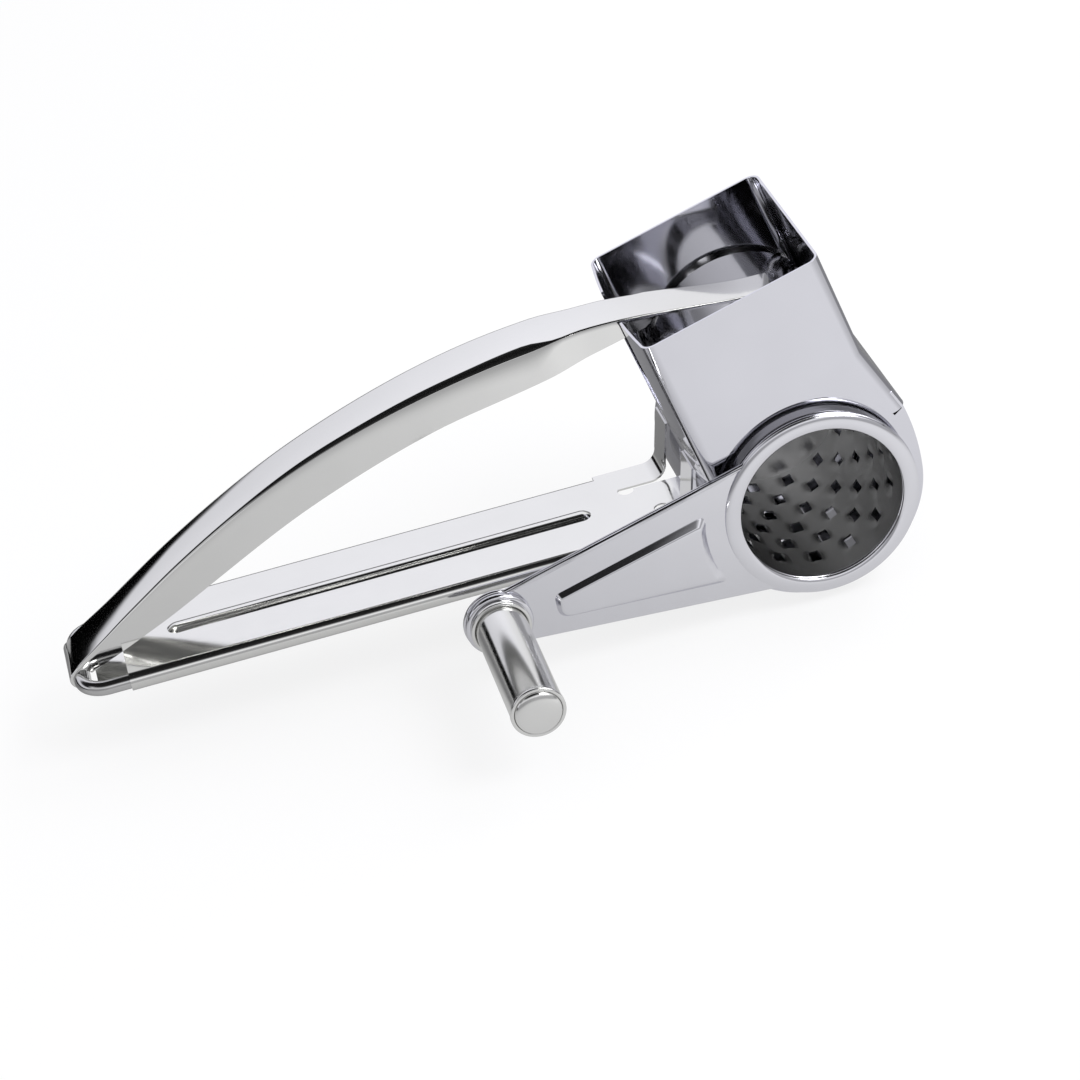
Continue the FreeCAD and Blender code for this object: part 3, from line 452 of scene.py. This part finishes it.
def side_profile(shoulder):
    """(across, below, turn) from the top's edge down the side, along its arcs."""
    places = [(0.0, 0.0, 0.0)]
    across = below = start = 0.0
    for (end, share), steps in zip(SIDE_ARCS, SIDE_STEPS):
        end = math.radians(end)
        radius = shoulder * share
        for step in range(1, steps + 1):
            turn = start + (end - start) * step / steps
            places.append((across + radius * (math.sin(turn) - math.sin(start)),
                           below + radius * (math.cos(start) - math.cos(turn)), turn))
        across, below, _ = places[-1]
        start = end
    return places


def channel_side(half, depth, shoulder):
    """One side of the channel's section, from its flat top down: outer and inner points.

    Where the outer face turns tighter than the sheet is thick, the inner face has a plain corner.
    """
    whole = side_profile(1.0)[-1]
    shoulder = min(shoulder, ROUND_SHARE * depth / whole[1], ROUND_SHARE * half / whole[0])
    side = side_profile(shoulder)
    reach, low, steep = side[-1]
    outer = []
    inner = []
    for across, below, turn in side + [(reach, (depth + low) / 2, steep), (reach, depth, steep)]:
        place = half - reach + across
        outer.append((place, below))
        inside = (max(0.0, place - PRESS_SHEET * math.sin(turn)),
                  min(depth, below + PRESS_SHEET * math.cos(turn)))
        inner.append(inside if not inner or inside[1] >= inner[-1][1] else inner[-1])
    inner[-1] = (inner[-1][0], depth)
    return outer, inner


def channel_section(half, depth, shoulders, crown):
    """(across, below) points of the channel's section: outer face, then inner face back."""
    (near, near_inner), (far, far_inner) = [channel_side(half, depth, size) for size in shoulders]
    start, end = -near[0][0], far[0][0]
    middle = [start + (end - start) * step / TOP_STEPS for step in range(1, TOP_STEPS)]
    section = [(-across, below) for across, below in reversed(near)]
    section += [(across, 0.0) for across in middle] + far + list(reversed(far_inner))
    section += [(across, PRESS_SHEET) for across in reversed(middle)]
    section += [(-across, below) for across, below in near_inner]
    return [(across, below + crown * (across / half) ** 2) for across, below in section]


def press_stations():
    """(place, outward) along the handle's outer face: round the curl, then up the back."""
    stations = []
    for step in range(CURL_STEPS):
        turn = math.radians(CURL_END + (CURL_START - CURL_END) * step / CURL_STEPS)
        stations.append((pointing(turn) * CURL_OUTER, pointing(turn)))
    back = smooth_line(back_knots(), BACK_STEPS)
    for index, place in enumerate(back):
        along = back[min(index + 1, len(back) - 1)] - back[max(index - 1, 0)]
        stations.append((place, flat(-along.y, along.x).normalized()))
    return stations


def press_border():
    """The line that the sides reach down to: over the curl, then the flanges' lower edge."""
    start = math.radians(CURL_START)
    curl = [pointing(start + (TAIL_SLOPE / 2 - start) * step / FLANGE_STEPS) * CURL_OUTER
            for step in range(FLANGE_STEPS)]
    return curl + smooth_line(flange_knots(), FLANGE_STEPS)


def press_section(index, place, outward, border):
    """The (across, below) points of the handle at one of its stations."""
    if index < CURL_STEPS:
        return channel_section(table(0.0, HALF_WIDTHS), LEAST_DEPTH, CURL_SHOULDERS, 0.0)
    depth = LEAST_DEPTH
    if index > CURL_STEPS + 1:
        depth = max(depth, drop_to(place, -outward, border) or 0.0)
    run = place.x
    shoulders = (table(run, SHOULDERS), table(run, FAR_SHOULDERS))
    return channel_section(table(run, HALF_WIDTHS), depth, shoulders, table(run, CROWNS))


def press_handle():
    """The handle as one sheet, bent into a channel that ends in a curl round the hinge."""
    border = press_border()
    points = []
    starts = []
    for index, (place, outward) in enumerate(press_stations()):
        starts.append(len(points))
        for across, below in press_section(index, place, outward, border):
            spot = place - outward * below
            points.append((spot.x, across, spot.y))
    count = len(points) // len(starts)
    faces = []
    for here, there in zip(starts, starts[1:]):
        faces += band_faces(count, here, there)
    faces += [tuple(range(start, start + count)) for start in (starts[0], starts[-1])]
    piece = object_from("press_handle_skin", points, faces, HINGE)
    return finish_piece(piece, PRESSED, "press_handle", crease=40)


# ---------------------------------------------------------------- crank

CRANK_SHEET = 1.2
CRANK_EDGE = 0.5
RING_OUTER = 24.1
RING_INNER = 20.0
RING_STEPS = 96
# The arm's outline leaves the ring at these turns in degrees, and goes round the eye between these.
ARM_TURNS = (137.9, 235.4)
EYE_RADIUS = 8.4
EYE_TURNS = (70, 300)
EYE_STEPS = 40
LIP_RADIUS = 0.62
LIP_LIFT = 0.1
LIP_END = 0.35  # the radius at its ends, as a share


def plate_curve(name, loops, depth, edge, origin):
    """A flat plate in the XZ plane with rounded edges, from loops of (x, z) points."""
    curve = bpy.data.curves.new(name, "CURVE")
    curve.dimensions = "2D"
    curve.fill_mode = "BOTH"
    curve.extrude = (depth / 2 - edge) * MM
    curve.bevel_depth = edge * MM
    curve.bevel_resolution = 3
    curve.offset = -edge * MM
    for loop in loops:
        spline = curve.splines.new("POLY")
        spline.points.add(len(loop) - 1)
        for point, (across, height) in zip(spline.points, loop):
            point.co = (across * MM, height * MM, 0, 1)
        spline.use_cyclic_u = True
    holder = new_object(name, curve)
    mesh = evaluated_mesh(holder)
    bpy.data.objects.remove(holder)
    mesh.transform(Matrix.Rotation(math.radians(90), 4, "X"))
    mesh.transform(Matrix.Translation(origin * MM))
    edit(mesh, weld, close_up)
    return new_object(name, mesh)


def join(piece, *others):
    """Fuse closed pieces into the first one."""
    for other in others:
        fuse = piece.modifiers.new("fuse", "BOOLEAN")
        fuse.operation = "UNION"
        fuse.solver = "EXACT"
        fuse.object = other
        apply_modifiers(piece)
        bpy.data.objects.remove(other)
    edit(piece.data, drop_slivers)


def arc_points(centre, radius, start, end, count):
    """Points round an arc, between turns in degrees."""
    return [(centre[0] + radius * math.cos(math.radians(start + (end - start) * step / count)),
             centre[1] + radius * math.sin(math.radians(start + (end - start) * step / count)))
            for step in range(count + 1)]


RING_SIDE_EXTRA = 0.5
LEAST_FILLET = 0.3


def inset_corners(corners, inset):
    """A clockwise outline's corners with its sides moved inwards, furthest on the ring's side."""
    moved = []
    for index, (across, height, fillet) in enumerate(corners):
        here = Vector((across, height))
        before = (here - Vector(corners[index - 1][:2])).normalized()
        after = (Vector(corners[(index + 1) % len(corners)][:2]) - here).normalized()
        inward = [Vector((along.y, -along.x)) for along in (before, after)]
        reach = inset * (1 + RING_SIDE_EXTRA * max(0.0, -inward[0].x, -inward[1].x))
        here += (inward[0] + inward[1]) * reach / (1 + inward[0].dot(inward[1]))
        moved.append((here.x, here.y, max(fillet - inset, LEAST_FILLET) if fillet else 0))
    return moved


def side_parts(loop, spacing):
    """How many parts of about one spacing each side of a closed loop has."""
    return [max(1, round((loop[(index + 1) % len(loop)] - here).length / spacing))
            for index, here in enumerate(loop)]


def even_loop(corners, side_counts):
    """A closed loop with each of its sides cut into so many parts."""
    loop = []
    for index, (here, parts) in enumerate(zip(corners, side_counts)):
        there = corners[(index + 1) % len(corners)]
        loop += [here.lerp(there, part / parts) for part in range(parts)]
    return loop


def raised_panel(name, corners, steps, origin):
    """A closed panel on the plate: (inset, height) steps lead from its foot to its flat top."""
    points = []
    faces = []
    side_counts = side_parts(rounded(corners), PANEL_SPACING)
    for inset, height in steps:
        loop = even_loop(rounded(inset_corners(corners, inset)), side_counts)
        points += [(place.x, -height, place.y) for place in loop]
    count = sum(side_counts)
    for level in range(len(steps) - 1):
        faces += band_faces(count, level * count, (level + 1) * count)
    for first in (0, (len(steps) - 1) * count):
        level = [Vector((x, z, 0.0)) for x, _, z in points[first:first + count]]
        faces += [tuple(first + corner for corner in triangle)
                  for triangle in tessellate_polygon([level])]
    return object_from(name, points, faces, origin)


# The panel's corners: two beside the eye, as (right, up, fillet) from its centre, and the others
# round the ring at turns in degrees. Its steps are (inset, height).
PANEL_UPPER, PANEL_LOWER = (14.2, 3.0, 1.8), (14.2, -3.6, 3.6)
PANEL_RADIUS = 28.9
PANEL_TURNS = (168.5, 178.5, 184, 189, 194, 200, 209)
PANEL_FILLET = 2.6
PANEL_SPACING = 0.8
PANEL_STEPS = [(0.0, -0.5), (0.02, 0.05), (0.16, 0.22), (0.90, 1.24), (1.04, 1.37), (1.22, 1.44),
               (1.45, 1.47)]
RING_DOME = [(20.40, 0.25, 0), (20.12, -0.15, 0), (20.20, -0.55, 0), (20.5, -0.85, 0),
             (21.1, -1.05, 0), (22.05, -1.15, 0), (23.0, -1.05, 0), (23.6, -0.85, 0),
             (23.9, -0.55, 0), (23.98, -0.15, 0), (23.70, 0.25, 0)]


def panel_corners(eye):
    """The panel's (across, height, fillet) corners about the crank's axis."""
    upper, lower = [(eye[0] + right, eye[1] + up, fillet)
                    for right, up, fillet in (PANEL_UPPER, PANEL_LOWER)]
    corners = [upper]
    for turn in PANEL_TURNS:
        angle = math.radians(turn)
        fillet = PANEL_FILLET if turn in (PANEL_TURNS[0], PANEL_TURNS[-1]) else 0
        corners.append((PANEL_RADIUS * math.cos(angle), PANEL_RADIUS * math.sin(angle), fillet))
    return corners + [lower]


def crank_plate():
    """The arm and ring in one sheet, with a domed bead round the mouth and a pressed panel."""
    eye = (SPINDLE.x - AXIS.x, SPINDLE.z - AXIS.z)
    ring = arc_points((0, 0), RING_OUTER, ARM_TURNS[1] - 360, ARM_TURNS[0], RING_STEPS)
    round_eye = arc_points(eye, EYE_RADIUS, *EYE_TURNS, EYE_STEPS)
    mouth = arc_points((0, 0), RING_INNER, 0, 360, RING_STEPS)[:-1]
    face = span("crank_collar")[1].y
    origin = Vector((AXIS.x, face, AXIS.z))
    middle = Vector((AXIS.x, face + CRANK_SHEET / 2, AXIS.z))
    loops = [ring + round_eye, mouth]
    plate = plate_curve("crank_plate_skin", loops, CRANK_SHEET, CRANK_EDGE, middle)
    join(plate, raised_panel("crank_panel", panel_corners(eye), PANEL_STEPS, origin),
         turned("crank_dome", origin, RING_DOME),
         edge_bead("crank_lip", ring[-1], round_eye[0], origin))
    return finish_piece(plate, POLISHED, "crank_plate", crease=30)


def edge_bead(name, start, end, origin):
    """The rounded bead along the arm's upper edge, from the ring to the knob's collar."""
    first, last = Vector(start), Vector(end)
    along = (last - first).normalized()
    inward = Vector((-along.y, along.x))
    points = []
    faces = []
    around, sections = 12, 9
    for section in range(sections):
        centre = first.lerp(last, section / (sections - 1)) + inward * LIP_RADIUS
        radius = LIP_RADIUS * (1 if 0 < section < sections - 1 else LIP_END)
        for turn in range(around):
            angle = TURN * turn / around
            spot = centre + inward * radius * math.cos(angle)
            points.append((spot.x, -LIP_LIFT - radius * math.sin(angle), spot.y))
    for section in range(sections - 1):
        faces += band_faces(around, section * around, (section + 1) * around)
    faces += [tuple(range(start, start + around)) for start in (0, (sections - 1) * around)]
    return object_from(name, points, faces, origin)


# ---------------------------------------------------------------- knob

TUBE_INNER, TUBE_OUTER = 5.7, 6.3
BASE_OUTER = 7.3
END_INNER, END_OUTER = 5.6, 6.5
CAP_RIM, CAP_DOME, CAP_SHEET = 5.6, 1.9, 0.6
CAP_TURN = 7.5  # degrees from one point of the dome to the next
CAP_FULLNESS = 2 / 3
COLLAR_INNER, COLLAR_OUTER, COLLAR_ROUND = 2.0, 8.2, 0.95


def cap_profile(low, high):
    """The domed cap's corners: over the outside to the middle, then back inside."""
    turns = [math.radians(90 - CAP_TURN * step) for step in range(round(90 / CAP_TURN))]
    pillow = [(math.sin(turn) ** CAP_FULLNESS, 1 - max(0.0, math.cos(turn)) ** CAP_FULLNESS)
              for turn in turns]
    hollow = CAP_RIM - CAP_SHEET
    profile = [(hollow, high, 0), (CAP_RIM, high, 0)]
    profile += [(CAP_RIM * across, low + CAP_DOME * drop, 0) for across, drop in pillow]
    profile += [(0.0, low, 0), (0.0, low + CAP_SHEET, 0)]
    profile += [(hollow * across, low + CAP_SHEET + (CAP_DOME - CAP_SHEET) * drop, 0)
                for across, drop in reversed(pillow)]
    return profile


def knob():
    """Tube, base ring, end ring, domed cap and collar, turned about the spindle."""
    centre = Vector((SPINDLE.x, 0, SPINDLE.z))
    low, high = [corner.y for corner in span("knob_tube")]
    turned_piece("knob_tube", centre, [
        (TUBE_INNER, low, 0.1), (TUBE_OUTER, low, 0.1),
        (TUBE_OUTER, high, 0.2), (TUBE_INNER, high, 0.2),
    ], TURNED)
    low, high = [corner.y for corner in span("knob_base_ring")]
    turned_piece("knob_base_ring", centre, [
        (TUBE_OUTER, low + 0.5, 0.1), (TUBE_OUTER + 0.3, low, 0.2), (BASE_OUTER, low + 0.1, 0.9),
        (BASE_OUTER, high, 0.2), (TUBE_OUTER, high, 0.1),
    ], TURNED)
    low, high = [corner.y for corner in span("knob_end_ring")]
    turned_piece("knob_end_ring", centre, [
        (END_INNER, low, 0.35), (END_OUTER, low, 0.8),
        (END_OUTER, high, 0.6), (END_INNER, high, 0.1),
    ], TURNED)
    low, high = [corner.y for corner in span("knob_end_cap")]
    turned_piece("knob_end_cap", centre, cap_profile(low, high), TURNED)
    low, high = [corner.y for corner in span("crank_collar")]
    turned_piece("crank_collar", centre, [
        (COLLAR_INNER, low, 0.2), (COLLAR_OUTER, low, COLLAR_ROUND),
        (COLLAR_OUTER, high, COLLAR_ROUND), (COLLAR_INNER, high, 0.1),
    ], POLISHED)


# ---------------------------------------------------------------- drum

DRUM_OUTER = 20.9
DRUM_SHEET = 0.5
# The sheet is cut into steps, round it for its columns of openings and along it for its rows. The
# margins are from the drum's ends to the middle of the rows next to them.
COLUMNS, STEPS_PER_COLUMN = 14, 16
ROWS, STEPS_PER_ROW = 6, 10
NEAR_MARGIN, FAR_MARGIN = 8.4, 4.6
# In steps round the drum from a tooth's foot, and along it from the middle of the tooth.
OPENING_START, OPENING_END, OPENING_HALF = 4, 8, 3
TOOTH_HEIGHT, TOOTH_HALF = 0.75, 3.6
DENT_DEPTH, DENT_STEPS = 0.35, 2


def grating_drum():
    """The drum's sheet with rows of openings, each with a raised cutting lip beside it."""
    near, far = [corner.y - AXIS.y for corner in span("grating_drum")]
    around = COLUMNS * STEPS_PER_COLUMN
    first, last = near + NEAR_MARGIN, far - FAR_MARGIN
    step_y = (last - first) / (ROWS - 1) / STEPS_PER_ROW
    start = round((first - near) / step_y)
    total = round((far - near) / step_y)
    points = []
    for level in range(total + 1):
        along = near + (far - near) * level / total
        for turn in range(around):
            angle = TURN * turn / around
            radius = DRUM_OUTER - DRUM_SHEET / 2 + tooth_lift(turn, level - start)
            points.append((radius * math.cos(angle), along, radius * math.sin(angle)))
    faces = []
    for level in range(total):
        band = band_faces(around, level * around, (level + 1) * around)
        faces += [face for turn, face in enumerate(band)
                  if not in_opening(turn, level - start + 0.5)]
    piece = object_from("grating_drum_skin", points, faces, AXIS)
    solid = piece.modifiers.new("sheet", "SOLIDIFY")
    solid.thickness = DRUM_SHEET * MM
    solid.offset = 0
    apply_modifiers(piece)
    return finish_piece(piece, GRATED, "grating_drum", crease=38)


def tooth_place(turn, along):
    """The steps round and along from the nearest tooth, or None outside the rows."""
    row = math.floor((along + STEPS_PER_ROW / 2) / STEPS_PER_ROW)
    if not 0 <= row < ROWS:
        return None
    shift = STEPS_PER_COLUMN // 2 if row % 2 else 0
    return (turn - shift) % STEPS_PER_COLUMN, along - STEPS_PER_ROW * row


def in_opening(turn, along):
    place = tooth_place(turn, along)
    if place is None:
        return False
    return OPENING_START <= place[0] < OPENING_END and abs(place[1]) < OPENING_HALF


def tooth_lift(turn, along):
    """How far the sheet stands out: up to the cutting lip, and dented behind the opening."""
    place = tooth_place(turn, along)
    if place is None:
        return 0.0
    around, beside = place
    width = max(0.0, 1 - (beside / TOOTH_HALF) ** 2)
    if around <= OPENING_START:
        return TOOTH_HEIGHT * width * (around / OPENING_START) ** 2
    if around >= OPENING_END:
        return -DENT_DEPTH * width * max(0.0, 1 - (around - OPENING_END) / DENT_STEPS)
    return 0.0


# ---------------------------------------------------------------- pieces

press_handle()
crank_plate()
knob()
grating_drum()

# Sheets that keep the frame's own shape, with the width of their edges' rounding.
SHEETS = {
    "hopper_shell": (WALLS, 0.15), "drum_housing": (WALLS, 0.15), "lower_handle": (PLATE, 0.12),
    # The front rim's, the pusher's and the saddle's darker colours carry painted shade.
    "pusher_plate": (PUSHER_PAINTED_SHADE, 0.12), "pusher_saddle": (PUSHER_PAINTED_SHADE, 0.12), "front_ring": (RIM_PAINTED_SHADE, 0.12),
    "back_plate": (POLISHED, 0.12),
}
for label, (finish, width) in SHEETS.items():
    sheet_copy(label, finish, width)

# Fittings that stay as the frame has them.
PLAIN = {
    "handle_bow": DRAWN, "drum_rim": SATIN, "drum_disc": SATIN, "hub_pin": SATIN,
    "hub_washer": SATIN, "hub_clip": SATIN, "knob_spindle": SATIN, "spindle_washer": SATIN,
    "knob_bushes": BUSH,
}
for label, finish in PLAIN.items():
    mesh = frame["nodes"][label].data
    mesh.materials.clear()
    mesh.materials.append(finish)


# ---------------------------------------------------------------- floor, light and camera

WHITE = (1, 1, 1, 1)


def combined(tree, kind, operation, first, second):
    """Two sockets joined by a math node."""
    node = add(tree, kind, operation=operation)
    tree.links.new(first, node.inputs[0])
    tree.links.new(second, node.inputs[1])
    return node.outputs[0]


def light_path(tree):
    """Two sockets: 1 for camera rays, and 1 for glossy and transmission rays."""
    path = add(tree, "ShaderNodeLightPath")
    mirrored = combined(tree, "ShaderNodeMath", "MAXIMUM",
                        path.outputs["Is Glossy Ray"], path.outputs["Is Transmission Ray"])
    return path.outputs["Is Camera Ray"], mirrored


def tone_ramp(tree, source, stops, blue=1.0):
    """Tones read along a socket from (place, tone) stops."""
    ramp = add(tree, "ShaderNodeValToRGB")
    tree.links.new(source, ramp.inputs["Fac"])
    while len(ramp.color_ramp.elements) < len(stops):
        ramp.color_ramp.elements.new(0.5)
    for element, (place, tone) in zip(ramp.color_ramp.elements, stops):
        element.position = place
        element.color = (tone, tone, tone * blue, 1)
    return ramp.outputs["Color"]


def mixed(tree, first, second, share=None):
    """Two colours mixed by a share, or multiplied where there is none."""
    blend = "MULTIPLY" if share is None else "MIX"
    mix = add(tree, "ShaderNodeMix", data_type="RGBA", blend_type=blend)
    mix.inputs["Factor"].default_value = 1.0
    if share is not None:
        tree.links.new(share, mix.inputs["Factor"])
    tree.links.new(first, mix.inputs["A"])
    tree.links.new(second, mix.inputs["B"])
    return mix.outputs["Result"]


def mixed_shader(tree, share, first, second):
    mix = add(tree, "ShaderNodeMixShader")
    tree.links.new(share, mix.inputs["Fac"])
    tree.links.new(first.outputs[0], mix.inputs[1])
    tree.links.new(second.outputs[0], mix.inputs[2])
    return mix


# In reflections the floor shows a painted pool of light that fades about a spot in front of the
# head: (metres away, tone).
# Just behind the object it has a painted shade: (metres back, share).
SWEEP_CENTRE = (0.13, -0.12, 0.0)
SWEEP = [(0.0, 0.88), (0.05, 0.86), (0.14, 0.66), (0.25, 0.50), (0.45, 0.36), (1.0, 0.26)]
SWEEP_BACK = [(0.0, 1.0), (0.05, 0.14), (0.16, 0.14), (0.35, 1.0)]
GLOW_SHARE = 0.80
FLOOR_COLOUR = (0.86, 0.86, 0.88, 1)
FLOOR_HALF, FLOOR_DROP = 4.0, 0.0002  # metres


def floor_material():
    """White to the camera, a painted pool of light with a painted shade in mirrors, and a plain
    floor that takes the shadow.
    """
    material = bpy.data.materials.new("floor")
    material.use_nodes = True
    tree = material.node_tree
    tree.nodes.clear()
    camera_ray, mirrored = light_path(tree)
    place = add(tree, "ShaderNodeTexCoord").outputs["Object"]
    away = add(tree, "ShaderNodeVectorMath", operation="DISTANCE")
    away.inputs[1].default_value = SWEEP_CENTRE
    tree.links.new(place, away.inputs[0])
    split = add(tree, "ShaderNodeSeparateXYZ")
    tree.links.new(place, split.inputs[0])
    sweep = combined(tree, "ShaderNodeVectorMath", "MULTIPLY",
                     tone_ramp(tree, away.outputs["Value"], SWEEP),
                     tone_ramp(tree, split.outputs["Y"], SWEEP_BACK))
    shown = add(tree, "ShaderNodeMix", data_type="RGBA")
    shown.inputs["B"].default_value = WHITE
    tree.links.new(camera_ray, shown.inputs["Factor"])
    tree.links.new(sweep, shown.inputs["A"])
    glow = add(tree, "ShaderNodeEmission")
    tree.links.new(shown.outputs["Result"], glow.inputs["Color"])
    pale = add(tree, "ShaderNodeBsdfDiffuse")
    pale.inputs["Color"].default_value = FLOOR_COLOUR
    share = add(tree, "ShaderNodeMath", operation="MULTIPLY")
    share.inputs[1].default_value = GLOW_SHARE
    seen = combined(tree, "ShaderNodeMath", "MAXIMUM", camera_ray, mirrored)
    tree.links.new(seen, share.inputs[0])
    output = add(tree, "ShaderNodeOutputMaterial")
    surface = mixed_shader(tree, share.outputs[0], pale, glow)
    tree.links.new(surface.outputs[0], output.inputs["Surface"])
    return material


def floor():
    mesh = bpy.data.meshes.new("floor")
    half = FLOOR_HALF
    mesh.from_pydata([(-half, -half, 0), (half, -half, 0), (half, half, 0), (-half, half, 0)], [],
                     [(0, 1, 2, 3)])
    mesh.materials.append(floor_material())
    plane = new_object("floor", mesh)
    plane.location.z = -FLOOR_DROP


# What polished metal sees of the room, as (level, tone) along a direction in it.
# Behind the tail: a dark corner low on the left, a dark skirting, and a pale wall up to the
# ceiling.
CORNER_SIDE = (0.775, -0.6, 1.0)
CORNER = [(-0.72, 0.01), (-0.66, 1.0)]
SKIRTING = [(0.02, 0.03), (0.15, 0.04), (0.21, 1.0)]
WALL_SIDE = (-0.3, 0.0, 1.0)
WALL = [(0.30, 0.88), (0.50, 0.95), (0.70, 1.05), (0.79, 0.02), (1.0, 0.006)]
# In front and at the sides.
FRONT = [(0.0, 0.42), (0.34, 0.44), (0.44, 0.90), (0.60, 0.90), (0.70, 0.40), (0.80, 0.025),
         (1.0, 0.006)]
SIDES = [(-0.02, 0.30), (0.06, 0.22), (0.22, 0.36), (0.34, 0.80), (0.50, 0.86), (0.62, 1.0),
         (0.72, 1.0), (0.80, 0.025), (1.00, 0.006)]
ROOM_BLUE = 1.02
UP = (0.0, 0.0, 1.0)
# Where the room turns from one wall to the next: a side, and the levels along it between which it
# does.
TO_BEHIND = ((-1.0, 1.0, 0.0), 0.35, 0.80)
TO_FRONT = ((0.0, -1.0, 0.0), 0.15, 0.40)
# The room is brighter on the head's side than on the tail's.
TO_HEAD = ((1.0, 0.0, 0.0), -0.5, 0.25)
SIDE_TONES = (0.88, 1.14)
SOFT = (0.80, 0.80, 0.81, 1)


def level_along(tree, place, side):
    """How far a direction points to one side."""
    level = add(tree, "ShaderNodeVectorMath", operation="DOT_PRODUCT")
    level.inputs[1].default_value = side
    tree.links.new(place, level.inputs[0])
    return level.outputs["Value"]


def room_tones(tree, place, side, stops):
    """Tones over how far a direction points to one side, from (level, tone) stops."""
    level = add(tree, "ShaderNodeMapRange")
    level.inputs["From Min"].default_value = -1
    tree.links.new(level_along(tree, place, side), level.inputs["Value"])
    stops = [((height + 1) / 2, tone) for height, tone in stops]
    return tone_ramp(tree, level.outputs["Result"], stops, ROOM_BLUE)


def share_along(tree, place, change, ends=(0.0, 1.0)):
    """From one value to another as a direction turns from one level to another on one side."""
    side, low, high = change
    share = add(tree, "ShaderNodeMapRange", interpolation_type="SMOOTHSTEP")
    share.inputs["From Min"].default_value = low
    share.inputs["From Max"].default_value = high
    share.inputs["To Min"].default_value, share.inputs["To Max"].default_value = ends
    tree.links.new(level_along(tree, place, side), share.inputs["Value"])
    return share.outputs["Result"]


def background(tree, colour):
    shown = add(tree, "ShaderNodeBackground")
    shown.inputs["Color"].default_value = colour
    return shown


def world():
    """White to the camera; metal sees a room with pale walls, dark corners and a dark ceiling."""
    studio = bpy.data.worlds.new("studio")
    bpy.context.scene.world = studio
    studio.use_nodes = True
    tree = studio.node_tree
    tree.nodes.clear()
    place = add(tree, "ShaderNodeTexCoord").outputs["Generated"]
    behind = mixed(tree, room_tones(tree, place, CORNER_SIDE, CORNER),
                   room_tones(tree, place, UP, SKIRTING))
    behind = mixed(tree, behind, room_tones(tree, place, WALL_SIDE, WALL))
    tones = mixed(tree, room_tones(tree, place, UP, SIDES), behind,
                  share_along(tree, place, TO_BEHIND))
    tones = mixed(tree, tones, room_tones(tree, place, UP, FRONT),
                  share_along(tree, place, TO_FRONT))
    room = add(tree, "ShaderNodeBackground")
    tree.links.new(tones, room.inputs["Color"])
    tree.links.new(share_along(tree, place, TO_HEAD, SIDE_TONES), room.inputs["Strength"])
    camera_ray, mirrored = light_path(tree)
    object_light = mixed_shader(tree, mirrored, background(tree, SOFT), room)
    shown = mixed_shader(tree, camera_ray, object_light, background(tree, WHITE))
    output = add(tree, "ShaderNodeOutputWorld")
    tree.links.new(shown.outputs[0], output.inputs["Surface"])


LAMP_SIZE = (0.6, 0.6)


def lamp(name, place, power):
    data = bpy.data.lights.new(name, "AREA")
    data.shape = "RECTANGLE"
    data.size, data.size_y = LAMP_SIZE
    data.energy = power
    holder = new_object(name, data)
    holder.location = place
    holder.rotation_euler = (-Vector(place)).to_track_quat("-Z", "Y").to_euler()


CAMERA_FROM_AXIS = Vector((-152.0, -641.94, 395.75))
CAMERA_TURN = (57.652, 9.540, -13.800)
CAMERA_LENS, CAMERA_SENSOR = 104.55, 36.0


def camera():
    data = bpy.data.cameras.new("camera")
    data.lens = CAMERA_LENS
    data.sensor_width = CAMERA_SENSOR
    data.clip_start = 0.01
    holder = new_object("camera", data)
    holder.location = (AXIS + CAMERA_FROM_AXIS) * MM
    holder.rotation_euler = [math.radians(turn) for turn in CAMERA_TURN]
    bpy.context.scene.camera = holder


floor()
world()
lamp("key", (0.75, -0.55, 0.95), 8)
lamp("fill", (0.95, 0.40, 0.80), 4)
camera()
bpy.context.scene.view_settings.view_transform = "Standard"
